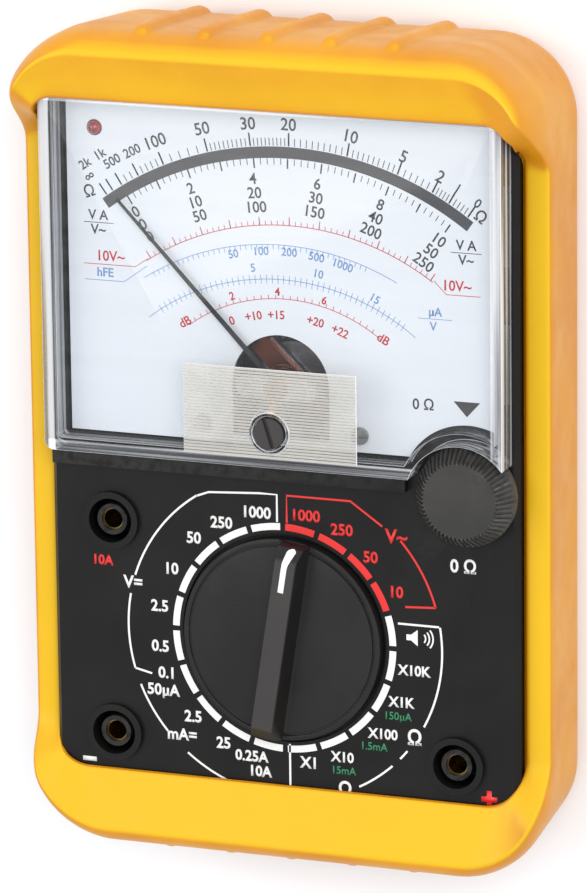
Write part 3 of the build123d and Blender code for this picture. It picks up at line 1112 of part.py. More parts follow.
# ---------------------------------------------------------------- write every node
NODES = {
    "rubber_holster": rubber_holster(),
    "front_case": front_case(),
    "rear_case": rear_case(),
    "window_cover": window_cover(),
    "dial_plate": dial_plate(),
    "dial_screws": dial_screws(),
    "movement_base": movement_base(),
    "yoke_ring": yoke_ring(),
    "core_magnet": core_magnet(),
    "upper_bridge": upper_bridge(),
    "upper_jewel_screw": upper_jewel_screw(),
    "lower_jewel_screw": lower_jewel_screw(),
    "coil_former": coil_former(),
    "coil_winding": coil_winding(),
    "pivot_staffs": pivot_staffs(),
    "pointer": pointer(),
    "balance_weights": balance_weights(),
    "upper_hairspring": hairspring(UPPER_SPRING_Z),
    "lower_hairspring": hairspring(LOWER_SPRING_Z),
    "spring_collets": spring_collets(),
    "lower_spring_anchor": lower_spring_anchor(),
    "zero_adjust_screw": zero_adjust_screw(),
    "zero_adjust_arm": zero_adjust_arm(),
    "selector_knob": selector_knob(),
    "contact_carrier": contact_carrier(),
    "detent_balls": detent_balls(),
    "detent_springs": detent_springs(),
    "selector_contacts": selector_contacts(),
    "selector_clip": selector_clip(),
    "ohm_adjust_knob": ohm_adjust_knob(),
    "potentiometer_shaft": potentiometer_shaft(),
    "potentiometer_body": potentiometer_body(),
    "circuit_board": circuit_board(),
    "board_screws": board_screws(),
    "resistors": resistors(),
    "diodes": diodes(),
    "trimmer": trimmer(),
    "capacitor": capacitor(),
    "shunt": shunt(),
    "fuse_glass": fuse_glass(),
    "fuse_caps": fuse_caps(),
    "fuse_clips": fuse_clips(),
    "buzzer": buzzer(),
    "continuity_lamp": continuity_lamp(),
    "aa_cells": aa_cells(),
    "cell_contacts": cell_contacts(),
    "block_cell": block_cell(),
    "block_cell_snap": block_cell_snap(),
    "block_cell_leads": block_cell_leads(),
    "cell_leads": cell_leads(),
    "lamp_leads": lamp_leads(),
    "movement_leads": movement_leads(),
    "case_screws": case_screws(),
}

for jack, at in JACK_PLACES.items():
    NODES[f"jack_sleeve_{jack}"] = jack_sleeve(at)
    NODES[f"jack_socket_{jack}"] = jack_socket(at)

for name, shape in NODES.items():
    save(name, shape)
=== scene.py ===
"""Analog multimeter: rubber holster, black case, clear window, printed dial and panel."""

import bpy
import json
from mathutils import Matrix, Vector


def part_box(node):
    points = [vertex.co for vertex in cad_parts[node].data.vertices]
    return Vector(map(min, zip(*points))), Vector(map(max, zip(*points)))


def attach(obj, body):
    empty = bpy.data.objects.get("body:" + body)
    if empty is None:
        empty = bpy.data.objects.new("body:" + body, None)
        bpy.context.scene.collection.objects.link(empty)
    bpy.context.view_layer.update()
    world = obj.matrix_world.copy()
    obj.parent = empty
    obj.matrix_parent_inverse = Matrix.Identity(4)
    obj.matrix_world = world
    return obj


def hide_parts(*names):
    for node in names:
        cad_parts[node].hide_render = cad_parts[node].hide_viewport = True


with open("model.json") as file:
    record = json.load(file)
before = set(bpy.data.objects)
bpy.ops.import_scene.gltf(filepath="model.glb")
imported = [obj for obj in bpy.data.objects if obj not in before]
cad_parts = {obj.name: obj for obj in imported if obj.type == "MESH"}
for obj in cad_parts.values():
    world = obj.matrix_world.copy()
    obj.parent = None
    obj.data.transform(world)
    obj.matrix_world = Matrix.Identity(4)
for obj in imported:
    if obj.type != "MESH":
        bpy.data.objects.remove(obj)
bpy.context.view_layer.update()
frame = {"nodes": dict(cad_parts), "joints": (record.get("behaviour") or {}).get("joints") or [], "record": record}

import json
import math

import bmesh
import bpy
import numpy as np
from mathutils import Matrix, Vector
from mathutils.bvhtree import BVHTree

MM = 0.001

# ---------------------------------------------------------------- places from the frame, in millimetres
def corners(node):
    """Lowest and highest corner of a node."""
    return tuple(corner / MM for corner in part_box(node))


def joint_place(name):
    """Where a joint's axis stands on the face."""
    joint = next(joint for joint in frame["joints"] if joint["name"] == name)
    return joint["pos_m"][0] / MM, joint["pos_m"][1] / MM


PIVOT = joint_place("needle_swing")
ZERO_SCREW = joint_place("zero_screw_turn")
SELECTOR = joint_place("selector_turn")
WINDOW_LOW, WINDOW_HIGH = corners("window_cover")
CASE_LOW, CASE_HIGH = corners("front_case")
HOLSTER_HIGH = corners("rubber_holster")[1]
DIAL_Z = corners("dial_plate")[1].z
RIDGE_HEIGHT = 2.0                      # of the ridge over the panel
PANEL_Z = CASE_HIGH.z - RIDGE_HEIGHT

# ---------------------------------------------------------------- sizes in millimetres
INK_THICKNESS = 0.03
LEAN = math.tan(math.radians(8.0))      # draft of the case and the pocket
OUTER_LEAN = math.tan(math.radians(5.0))
STEP = 18.0                             # degrees between selector positions
RING_INNER = 22.75
RING_OUTER = 24.2
RING_GAP = 2.7                          # degrees
NUMBER_RADIUS = 27.4                    # middle of the figures round the selector
BRACKET_RADIUS = 34.0
BRACKET_WIDTH = 0.42
HOLSTER_FLOOR = 3.0
BACK_ROUND = 7.0
SHOULDER_Z = 30.0
PLATE_Z = WINDOW_HIGH.z - 0.65          # the zero screw's collar stands over the window's plate
PATCH_Z = PLATE_Z + 0.25
RIM = 2.4                               # width of the window's solid edge, seen from above


# ---------------------------------------------------------------- node trees written as sums
class Value:
    """A number, colour or shape in a node tree; a sum with it adds the Math nodes."""

    def __init__(self, wiring, socket):
        self.wiring = wiring
        self.socket = socket

    def _sum(self, operation, *terms):
        return self.wiring.node("ShaderNodeMath", {"operation": operation}, *terms)

    def __add__(self, other):
        return self._sum("ADD", self, other)

    def __sub__(self, other):
        return self._sum("SUBTRACT", self, other)

    def __rsub__(self, other):
        return self._sum("SUBTRACT", other, self)

    def __mul__(self, other):
        return self._sum("MULTIPLY", self, other)

    def __truediv__(self, other):
        return self._sum("DIVIDE", self, other)

    def __neg__(self):
        return self._sum("MULTIPLY", self, -1.0)

    __radd__ = __add__
    __rmul__ = __mul__

    def sine(self):
        return self._sum("SINE", self)

    def cosine(self):
        return self._sum("COSINE", self)

    def size(self):
        return self._sum("ABSOLUTE", self)

    def step(self, low, high):
        """0 up to low, 1 from high, smooth between."""
        return self.wiring.node("ShaderNodeMapRange", {"interpolation_type": "SMOOTHSTEP"}, self, low, high,
                                0.0, 1.0)


class Wiring:
    """A node tree that is built up through one method."""

    def __init__(self, tree):
        self.tree = tree

    def feed(self, socket, term):
        if isinstance(term, Value):
            self.tree.links.new(term.socket, socket)
        else:
            socket.default_value = term

    def node(self, kind, settings=None, *terms, output=0, **named):
        """Add a node: its settings first, then its sockets, in order or by name."""
        made = self.tree.nodes.new(kind)
        for name, value in (settings or {}).items():
            setattr(made, name, value)
        for socket, term in zip([s for s in made.inputs if s.enabled], terms):
            self.feed(socket, term)
        for name, term in named.items():
            self.feed(made.inputs[name.replace("_", " ")], term)
        outputs = [s for s in made.outputs if s.enabled]
        return Value(self, outputs[output] if outputs else None)


# ---------------------------------------------------------------- finishes
def paint(red, green, blue):
    """A colour from 0 to 255 as the eye sees it, as light values."""
    return tuple((v / 255 / 12.92 if v < 10.3 else ((v / 255 + 0.055) / 1.055) ** 2.4)
                 for v in (red, green, blue)) + (1.0,)


class Finish(Wiring):
    """A material with its colour variation, gloss and surface grain."""

    def __init__(self, name):
        self.material = bpy.data.materials.new(name)
        self.material.use_nodes = True
        super().__init__(self.material.node_tree)
        self.tree.nodes.clear()
        self.place = self.node("ShaderNodeTexCoord", output=3)

    def along(self, stretch):
        """Object coordinates, stretched to draw a pattern out."""
        return self.node("ShaderNodeMapping", None, Vector=self.place, Scale=stretch)

    def clouds(self, per_mm, detail=2.0, stretch=None):
        """Soft irregular pattern from 0 to 1, with so many blotches to a millimetre."""
        place = self.along(stretch) if stretch else self.place
        return self.node("ShaderNodeTexNoise", None, Vector=place, Scale=per_mm / MM, Detail=detail)

    def cells(self, per_mm):
        return self.node("ShaderNodeTexVoronoi", None, Vector=self.place, Scale=per_mm / MM)

    def bands(self, per_mm, axis, distortion=0.0):
        return self.node("ShaderNodeTexWave", {"bands_direction": axis}, Vector=self.place, Scale=per_mm / MM,
                         Distortion=distortion)

    def part_of_place(self, axis):
        return self.node("ShaderNodeSeparateXYZ", None, self.place, output=axis)

    def mix(self, share, low, high):
        return self.node("ShaderNodeMix", {"data_type": "RGBA"}, share, low, high)

    def edges(self, low=0.56, high=0.66):
        """1 on outer edges."""
        return self.node("ShaderNodeNewGeometry", output=7).step(low, high)

    def bump(self, height, depth):
        return self.node("ShaderNodeBump", None, Strength=1.0, Distance=depth * MM, Height=height)

    def shader(self, colour, roughness, normal=None, metallic=0.0, **more):
        if normal is not None:
            more["Normal"] = normal
        return self.node("ShaderNodeBsdfPrincipled", None, Base_Color=colour, Roughness=roughness,
                         Metallic=metallic, **more)

    def close(self, shader):
        self.node("ShaderNodeOutputMaterial", None, shader)
        return self.material


def moulded(name, light, dark, gloss=(0.38, 0.52), grain=2.2, depth=0.03, wear_and_top_light=None, shine=0.3, lit_top_above=None):
    """Moulded, printed or plated surface: cloudy colour, uneven gloss, fine grain and paler rubbed edges; when a
    height is given, a painted highlight makes the top above it paler.
    """
    make = Finish(name)
    clouds = make.clouds(0.06, 4.0)
    colour = make.mix(clouds.step(0.3, 0.7), dark, light)
    if wear_and_top_light:
        rubbed = make.edges() * make.clouds(0.5, 3.0).step(0.3, 0.6)
        colour = make.mix(rubbed * 0.35, colour, wear_and_top_light)
    # painted light: everything above this height, in millimetres, is paler, as a lit top face
    if lit_top_above:
        colour = make.mix(make.part_of_place(2).step((lit_top_above - 0.6) * MM, lit_top_above * MM) * 0.75, colour, wear_and_top_light)
    smudges = make.clouds(0.14, 5.0).step(0.35, 0.75)
    roughness = gloss[0] + smudges * (gloss[1] - gloss[0])
    normal = make.bump(make.clouds(grain, 3.0), depth)
    return make.close(make.shader(colour, roughness, normal, Specular_IOR_Level=shine))


def rubber():
    """Soft yellow rubber: satin skin, fine pores; painted shade makes it orange where the skin faces away from the
    light and yellow where it faces it, and it is darker orange towards the bottom of the walls.
    """
    make = Finish("rubber_yellow")
    clouds = make.clouds(0.05, 4.0).step(0.3, 0.7)
    # painted shade: yellow where the skin faces the key light, orange where it faces away
    facing_light = make.node("ShaderNodeVectorMath", {"operation": "DOT_PRODUCT"},
                       make.node("ShaderNodeNewGeometry", output=1), (0.35, 0.2, 0.91), output=0)
    colour = make.mix(facing_light.step(0.72, 0.92), paint(208, 134, 14), paint(222, 176, 8))
    colour = make.mix(clouds * 0.25, colour, paint(242, 184, 18))
    # darker orange towards the bottom of the walls
    low = 1 - make.part_of_place(2).step(0.001, 0.016)
    colour = make.mix(low * 0.3, colour, paint(216, 134, 14))
    dust = make.clouds(0.9, 5.0).step(0.62, 0.8)
    colour = make.mix(dust * 0.05, colour, paint(250, 224, 170))
    roughness = 0.36 + make.clouds(0.12, 4.0).step(0.3, 0.7) * 0.12
    skin = make.clouds(2.6, 3.0) + make.cells(1.4) * 0.35
    normal = make.bump(skin, 0.03)
    return make.close(make.shader(colour, roughness, normal, Specular_IOR_Level=0.35))


def clear_plastic(name, tint, haze, wall_reflection_share, rim_haze=0.0, dust_share=0.02):
    """Clear moulding: light goes straight through the faces; the upright walls carry painted grey and white
    reflection streaks, the slanted bevels a painted white highlight, and the solid rim a milkier veil with the
    same streaks.
    """
    make = Finish(name)
    upright = 1 - make.node("ShaderNodeSeparateXYZ", None, make.node("ShaderNodeNewGeometry", output=1),
                            output=2).size().step(0.25, 0.8)
    across, along = make.part_of_place(0).size() / MM, make.part_of_place(1) / MM
    beside = across.step(WINDOW_HIGH.x - RIM - 0.2, WINDOW_HIGH.x - RIM + 0.1)
    # painted reflections: grey and white streaks running along the walls
    reflection_streaks = (make.clouds(0.5, 2.0, (1.0, 0.02, 1.6)) * beside
               + make.clouds(0.5, 2.0, (0.02, 1.0, 1.6)) * (1 - beside)).step(0.38, 0.62)
    dust = make.clouds(1.3, 4.0).step(0.62, 0.85)
    rim = (across.step(WINDOW_HIGH.x - RIM, WINDOW_HIGH.x - RIM + 0.3)
           + (1 - along.step(WINDOW_LOW.y + RIM - 0.3, WINDOW_LOW.y + RIM))
           + along.step(WINDOW_HIGH.y - RIM + 0.1, WINDOW_HIGH.y - RIM + 0.4))
    outward = make.node("ShaderNodeNewGeometry", output=1)
    # painted highlight: white on the slanted bevel faces
    slant = make.node("ShaderNodeSeparateXYZ", None, outward, output=2).size()
    bevel_highlight = slant.step(0.1, 0.3) * (1 - slant.step(0.85, 0.97))
    veil = (haze + dust * dust_share + upright * (wall_reflection_share * (0.45 + reflection_streaks * 0.55))
            + rim * (rim_haze * (0.3 + reflection_streaks)) + bevel_highlight * wall_reflection_share)
    through = make.node("ShaderNodeBsdfTransparent", None, Color=tint)
    # grey to white by the painted reflection streaks and the painted highlight
    milk = make.shader(make.mix(reflection_streaks + bevel_highlight, paint(124, 126, 130), paint(240, 242, 246)), 0.25)
    body = make.node("ShaderNodeMixShader", None, veil, through, milk)
    shine = make.node("ShaderNodeBsdfGlossy", None, Roughness=0.06)
    inside = make.node("ShaderNodeNewGeometry", output=6)
    mirror = make.node("ShaderNodeFresnel", None, IOR=1.42) * (1 - inside)
    return make.close(make.node("ShaderNodeMixShader", None, mirror, body, shine))


def ribbed_patch():
    """Frosted part of the window over the movement."""
    make = Finish("frosted_patch")
    clouds = make.clouds(0.2, 4.0)
    through = make.node("ShaderNodeBsdfTransparent", None, Color=(0.95, 0.94, 0.92, 1.0))
    milk = make.shader(make.mix(clouds, paint(212, 210, 204), paint(226, 224, 218)),
                       0.32 + clouds * 0.15, make.bump(make.clouds(3.0), 0.02))
    return make.close(make.node("ShaderNodeMixShader", None, 0.44 + clouds * 0.12, through, milk))


def dial_paint():
    """White dial: even satin paint with a breath of blue and a faint paper tooth."""
    make = Finish("dial_white")
    clouds = make.clouds(0.02, 3.0).step(0.3, 0.7)
    colour = make.mix(clouds, paint(214, 219, 226), paint(219, 223, 229))
    specks = make.clouds(1.8, 4.0).step(0.7, 0.85)
    colour = make.mix(specks * 0.06, colour, paint(170, 172, 176))
    roughness = 0.5 + make.clouds(0.3).step(0.3, 0.7) * 0.15
    return make.close(make.shader(colour, roughness, make.bump(make.clouds(5.0), 0.008)))


def metal(name, light, dark, gloss=(0.2, 0.4), stretch=(1.0, 12.0, 1.0), depth=0.004):
    """Bare metal with fine draw marks and a little tarnish."""
    make = Finish(name)
    tarnish = make.clouds(0.25, 5.0).step(0.35, 0.75)
    marks = make.clouds(0.8, 4.0, stretch)
    colour = make.mix(tarnish, light, dark)
    roughness = gloss[0] + tarnish * (gloss[1] - gloss[0]) + marks * 0.06
    return make.close(make.shader(colour, roughness, make.bump(marks, depth), 1.0))


def winding():
    """Fine copper turns side by side."""
    make = Finish("copper")
    turns = make.bands(1.6, "Z", 0.3)
    colour = make.mix(turns, paint(120, 52, 24), paint(214, 120, 66))
    return make.close(make.shader(colour, 0.28 + turns * 0.15, make.bump(turns, 0.05), 0.9))


def board_finish():
    """Circuit board: green lacquer over copper tracks, with tinned dots."""
    make = Finish("board")
    tracks = make.node("ShaderNodeTexBrick", {"offset": 0.35}, Vector=make.place, Scale=130.0,
                       Mortar_Size=0.06, output=1)
    dots = 1 - make.cells(0.32).step(0.09, 0.12)
    colour = make.mix(tracks, paint(28, 84, 46), paint(64, 122, 62))
    colour = make.mix(dots * 0.8, colour, paint(190, 192, 186))
    return make.close(make.shader(colour, 0.32 + make.clouds(0.4) * 0.15, make.bump(tracks + dots, 0.03)))


def banded(name, body, stripes, axis, per_mm):
    """A body with coloured bands round it."""
    make = Finish(name)
    bands = make.bands(per_mm, axis).step(0.72, 0.78)
    colour = make.mix(bands, body, stripes)
    roughness = 0.4 + make.clouds(0.5) * 0.15
    return make.close(make.shader(colour, roughness, make.bump(make.clouds(2.5), 0.02)))


def glowing_lamp():
    """Dark red dome of the unlit lamp, clear enough to show a brighter heart."""
    make = Finish("lamp_red")
    heart = make.clouds(0.7, 2.0).step(0.35, 0.65)
    colour = make.mix(heart, paint(112, 6, 12), paint(170, 18, 24))
    return make.close(make.shader(colour, 0.12 + heart * 0.08, make.bump(make.clouds(1.5), 0.02),
                                  Coat_Weight=0.8, Coat_Roughness=0.05))


def ink(name, colour):
    """Screen print: slightly uneven cover."""
    make = Finish(name)
    thin = make.clouds(1.6, 4.0).step(0.58, 0.8)
    paler = tuple(c * 0.8 + 0.03 for c in colour[:3]) + (1.0,)
    return make.close(make.shader(make.mix(thin * 0.5, colour, paler), 0.42 + thin * 0.15,
                                  make.bump(make.clouds(4.0), 0.006)))


FINISHES = {
    "rubber_yellow": rubber(),
    "case_black": moulded("case_black", paint(24, 23, 22), paint(18, 17, 17), (0.36, 0.48), 3.0, 0.02,
                          paint(74, 72, 70), 0.22),
    "clear_cover": clear_plastic("clear_cover", (0.985, 0.988, 0.99, 1.0), 0.015, 0.85, 0.45),
    "dial_white": dial_paint(),
    # the grip's bar top above 38.3 mm is painted paler as painted light
    "knob_black": moulded("knob_black", paint(32, 31, 30), paint(25, 24, 24), (0.36, 0.5), 2.6, 0.025,
                          paint(64, 62, 61), 0.3, 38.3),
    "knob_grey": moulded("knob_grey", paint(58, 57, 55), paint(50, 49, 48), (0.36, 0.5), 2.6, 0.025,
                         paint(130, 126, 120)),
    "steel": metal("steel", paint(190, 190, 192), paint(140, 140, 144)),
    "magnet": metal("magnet", paint(120, 120, 124), paint(84, 84, 88), (0.35, 0.55)),
    "aluminium": metal("aluminium", paint(212, 213, 216), paint(170, 172, 176)),
    "pointer_black": moulded("pointer_black", paint(36, 36, 38), paint(26, 26, 28), (0.3, 0.45)),
    "copper": winding(),
    "brass": metal("brass", paint(150, 126, 78), paint(112, 90, 52)),
    "bronze": metal("bronze", paint(186, 130, 74), paint(132, 84, 44)),
    "board": board_finish(),
    "resistor": banded("resistor", paint(206, 180, 134), paint(150, 60, 30), "X", 0.28),
    "part_dark": moulded("part_dark", paint(40, 40, 44), paint(28, 28, 30)),
    "blue_trim": moulded("blue_trim", paint(42, 88, 168), paint(30, 66, 138)),
    "capacitor": banded("capacitor", paint(30, 34, 60), paint(196, 198, 204), "Y", 0.05),
    "fuse_glass": clear_plastic("fuse_glass", (0.94, 0.97, 0.96, 1.0), 0.06, 0.12),
    "lamp_red": glowing_lamp(),
    "cell_jacket": banded("cell_jacket", paint(34, 36, 40), paint(176, 120, 52), "X", 0.018),
    "lead_red": moulded("lead_red", paint(184, 30, 30), paint(150, 20, 22)),
}
INKS = {
    "dark": ink("ink_dark", paint(58, 58, 61)),
    "red": ink("ink_red", paint(196, 34, 44)),
    "blue": ink("ink_blue", paint(112, 150, 200)),
    "white": ink("ink_white", paint(232, 232, 230)),
    "signal": ink("ink_signal", paint(222, 40, 38)),
    "green": ink("ink_green", paint(38, 128, 84)),
}

for subpart in frame["record"]["subparts"]:
    shape = frame["nodes"][subpart["node"]]
    finish = FINISHES[subpart["material_slot"]]
    if not shape.material_slots:
        shape.data.materials.append(finish)
    for place in shape.material_slots:
        place.material = finish


# ---------------------------------------------------------------- pieces
def piece(name, mesh, body, stands_for=(), material=None):
    """Add a finished mesh to the model and let it ride on a body."""
    mesh.name = name
    if material:
        mesh.materials.clear()
        mesh.materials.append(material)
    thing = bpy.data.objects.new(name, mesh)
    bpy.context.scene.collection.objects.link(thing)
    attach(thing, body)
    if stands_for:
        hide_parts(*stands_for)
    return thing


def baked(thing):
    """The object's mesh with its modifiers worked in; the object itself goes."""
    bpy.context.view_layer.update()
    seen = thing.evaluated_get(bpy.context.evaluated_depsgraph_get())
    mesh = bpy.data.meshes.new_from_object(seen)
    old = thing.data
    bpy.data.objects.remove(thing)
    (bpy.data.curves if isinstance(old, bpy.types.Curve) else bpy.data.meshes).remove(old)
    return mesh


def loose(name, mesh):
    """A working object that isn't part of the model."""
    thing = bpy.data.objects.new(name, mesh)
    bpy.context.scene.collection.objects.link(thing)
    return thing


def flat_mesh(points, faces):
    """Mesh from points in millimetres."""
    mesh = bpy.data.meshes.new("shape")
    mesh.from_pydata([Vector(p) * MM for p in points], [], faces)
    return mesh


def facing_out(mesh):
    """Turn every face of a closed mesh outward."""
    sheet = bmesh.new()
    sheet.from_mesh(mesh)
    bmesh.ops.recalc_face_normals(sheet, faces=sheet.faces)
    sheet.to_mesh(mesh)
    sheet.free()
    return mesh


def softened(node, width, segments=3, angle=32.0):
    """Copy of a CAD node with its doubles merged, its flat faces joined and its edges rounded."""
    sheet = bmesh.new()
    sheet.from_mesh(frame["nodes"][node].data)
    bmesh.ops.remove_doubles(sheet, verts=sheet.verts, dist=0.002 * MM)
    bmesh.ops.dissolve_limit(sheet, angle_limit=math.radians(0.4), verts=sheet.verts, edges=sheet.edges)
    mesh = bpy.data.meshes.new(node)
    sheet.to_mesh(mesh)
    sheet.free()
    thing = loose(node, mesh)
    rounding = thing.modifiers.new("rounding", "BEVEL")
    rounding.width = width * MM
    rounding.segments = segments
    rounding.limit_method = "ANGLE"
    rounding.angle_limit = math.radians(angle)
    rounding.harden_normals = True
    for face in mesh.polygons:
        face.use_smooth = True
    return baked(thing)


# ---------------------------------------------------------------- shapes that repeat
class Grower(Wiring):
    """A Geometry Nodes tree with named inputs that repeats a shape; the result is a plain mesh."""

    def __init__(self, name, sizes):
        tree = bpy.data.node_groups.new(name, "GeometryNodeTree")
        super().__init__(tree)
        kinds = {"Shape": "NodeSocketGeometry", **sizes, "Finish": "NodeSocketMaterial"}
        for size, kind in kinds.items():
            tree.interface.new_socket(size, in_out="INPUT", socket_type=kind)
        tree.interface.new_socket("Result", in_out="OUTPUT", socket_type="NodeSocketGeometry")
        start = tree.nodes.new("NodeGroupInput")
        self.given = {s.name: Value(self, s) for s in start.outputs if s.name}

    def close(self, instances):
        whole = self.node("GeometryNodeRealizeInstances", None, instances)
        painted = self.node("GeometryNodeSetMaterial", None, whole, Material=self.given["Finish"])
        self.node("NodeGroupOutput", None, painted)

    def grow(self, shape, finish, **sizes):
        """Run the tree on a shape and return the plain mesh."""
        thing = loose("grown", shape)
        modifier = thing.modifiers.new("grow", "NODES")
        modifier.node_group = self.tree
        known = {s.name: s.identifier for s in self.tree.interface.items_tree if s.in_out == "INPUT"}
        for name, value in {**sizes, "Finish": finish}.items():
            modifier[known[name.replace("_", " ")]] = value
        return baked(thing)


def arc_grower():
    """Copies of a shape at even steps along an arc, each turned outward; angles run clockwise from +Y."""
    tree = Grower("along_an_arc", {"Count": "NodeSocketInt", "Radius": "NodeSocketFloat",
                                   "Start": "NodeSocketFloat", "End": "NodeSocketFloat"})
    given = tree.given
    share = tree.node("GeometryNodeInputIndex") / (given["Count"] - 1)
    angle = given["Start"] + (given["End"] - given["Start"]) * share
    where = tree.node("ShaderNodeCombineXYZ", None, angle.sine() * given["Radius"],
                      angle.cosine() * given["Radius"], 0.0)
    points = tree.node("GeometryNodePoints", None, given["Count"], where)
    turn = tree.node("ShaderNodeCombineXYZ", None, 0.0, 0.0, -angle)
    copies = tree.node("GeometryNodeInstanceOnPoints", None, points, Instance=given["Shape"], Rotation=turn)
    tree.close(copies)
    return tree


def row_grower():
    """Copies of a shape in a straight row."""
    tree = Grower("in_a_row", {"Count": "NodeSocketInt", "Step": "NodeSocketVector"})
    line = tree.node("GeometryNodeMeshLine", {"mode": "OFFSET"}, Count=tree.given["Count"],
                     Offset=tree.given["Step"])
    tree.close(tree.node("GeometryNodeInstanceOnPoints", None, line, Instance=tree.given["Shape"]))
    return tree


ARC = arc_grower()
ROW = row_grower()


# ---------------------------------------------------------------- printing
def polar(centre, radius, angle):
    """Point on a circle; the angle runs clockwise from +Y."""
    turn = math.radians(angle)
    return centre[0] + radius * math.sin(turn), centre[1] + radius * math.cos(turn)


class Print:
    """Printing of one colour on one flat surface; its places count from an origin on that surface."""

    CAP_HEIGHT = 0.73           # of the letters, as a share of their size

    def __init__(self, colour, origin):
        self.finish = INKS[colour]
        self.origin = origin
        self.sheet = bmesh.new()

    def add(self, mesh, at=(0.0, 0.0), turn=0.0):
        place = Vector((self.origin[0] + at[0], self.origin[1] + at[1], 0)) * MM
        mesh.transform(Matrix.Translation(place) @ Matrix.Rotation(math.radians(-turn), 4, "Z"))
        self.sheet.from_mesh(mesh)
        bpy.data.meshes.remove(mesh)

    def words(self, text, at, height, turn=0.0, bold=0.04, narrow=0.95):
        """Letters centred on a point; turn is clockwise."""
        curve = bpy.data.curves.new("letters", "FONT")
        curve.body = text
        curve.size = height * MM / self.CAP_HEIGHT
        curve.align_x = "CENTER"
        curve.align_y = "CENTER"
        curve.offset = bold * MM
        curve.resolution_u = 3
        mesh = baked(loose("letters", curve))
        mesh.transform(Matrix.Diagonal((narrow, 1.0, 1.0, 1.0)))
        self.add(mesh, at, turn)

    def band(self, line, width):
        """Stroke of even width along a line of points."""
        points = [Vector(p) for p in line]
        edges = []
        for n, point in enumerate(points):
            ahead = (points[min(n + 1, len(points) - 1)] - points[max(n - 1, 0)]).normalized()
            side = Vector((-ahead.y, ahead.x)) * width / 2
            edges += [(*(point - side), 0), (*(point + side), 0)]
        self.add(flat_mesh(edges, [(n, n + 2, n + 3, n + 1) for n in range(0, len(edges) - 2, 2)]))

    def arc(self, centre, radius, start, end, width, count=60):
        self.band([polar(centre, radius, start + (end - start) * n / count) for n in range(count + 1)], width)

    def marks(self, centre, radius, start, end, count, length, width):
        """Scale marks at even steps along an arc, standing outward from it."""
        half = width / 2
        mark = flat_mesh([(-half, 0, 0), (half, 0, 0), (half, length, 0), (-half, length, 0)], [(0, 1, 2, 3)])
        grown = ARC.grow(mark, self.finish, Count=count, Radius=radius * MM, Start=math.radians(start),
                         End=math.radians(end))
        self.add(grown, centre)

    def lay(self, name, z):
        """Give the printing its thickness and put it on its surface."""
        sheet = self.sheet
        bmesh.ops.remove_doubles(sheet, verts=sheet.verts, dist=0.001 * MM)
        for face in sheet.faces:
            face.normal_update()
            if face.normal.z < 0:
                face.normal_flip()
        top = bmesh.ops.extrude_face_region(sheet, geom=list(sheet.faces), use_keep_orig=True)
        moved = [v for v in top["geom"] if isinstance(v, bmesh.types.BMVert)]
        bmesh.ops.translate(sheet, verts=moved, vec=(0, 0, INK_THICKNESS * MM))
        bmesh.ops.recalc_face_normals(sheet, faces=sheet.faces)
        bmesh.ops.translate(sheet, verts=sheet.verts, vec=(0, 0, z * MM))
        mesh = bpy.data.meshes.new(name)
        sheet.to_mesh(mesh)
        sheet.free()
        return piece(name, mesh, "meter", (), self.finish)


# ---------------------------------------------------------------- camera
def camera():
    """Looks down on the face from above and to the right."""
    eye = Vector((0.45390, 0.34063, 1.22477))
    forward = Vector((-0.34203, -0.25700, -0.90386)).normalized()
    right = Vector((0.93630, -0.01154, -0.35102))
    right = (right - forward * right.dot(forward)).normalized()
    up = right.cross(forward)
    view = bpy.data.cameras.new("camera")
    view.sensor_fit = "VERTICAL"
    view.sensor_height = 36.0
    view.lens = 264.24
    view.clip_start = 0.05
    thing = bpy.data.objects.new("camera", view)
    bpy.context.scene.collection.objects.link(thing)
    thing.matrix_world = Matrix.Translation(eye) @ Matrix((right, up, -forward)).transposed().to_4x4()
    bpy.context.scene.camera = thing


camera()


# ---------------------------------------------------------------- holster
def outline(half, low, high, corner_low, corner_high, stations):
    """Points round a rounded rectangle, for stations given as (stretch, share)."""
    points = []
    for stretch, share in stations:
        if stretch in (0, 4):       # right side upward, left side downward
            side = 1 if stretch == 0 else -1
            rise = share if stretch == 0 else 1 - share
            first, last = low + corner_low, high - corner_high
            points.append((side * half, first + (last - first) * rise))
        elif stretch in (2, 6):     # top edge leftward, low edge rightward
            y, corner = (high, corner_high) if stretch == 2 else (low, corner_low)
            reach = half - corner
            x = reach - 2 * reach * share
            points.append((x if stretch == 2 else -x, y))
        else:
            corner = corner_high if stretch in (1, 3) else corner_low
            side = 1 if stretch in (1, 7) else -1
            y = high - corner if stretch in (1, 3) else low + corner
            angle = math.radians({1: 0, 3: 90, 5: 180, 7: 270}[stretch] + 90 * share)
            points.append((side * (half - corner) + corner * math.cos(angle), y + corner * math.sin(angle)))
    return np.array(points)


def ramp(value, start, length):
    share = np.clip((value - start) / length, 0.0, 1.0)
    return share * share * (3 - 2 * share)


def through(points, steps):
    """Smooth curve through rows of values, with so many steps between two rows."""
    rows = []
    last = len(points) - 1
    for n in range(last):
        before, here = points[max(n - 1, 0)], points[n]
        there, after = points[n + 1], points[min(n + 2, last)]
        for step in range(steps):
            t = step / steps
            rows.append(0.5 * (2 * here + (there - before) * t
                               + (2 * before - 5 * here + 4 * there - after) * t * t
                               + (3 * here - before - 3 * there + after) * t ** 3))
    rows.append(points[last])
    return rows


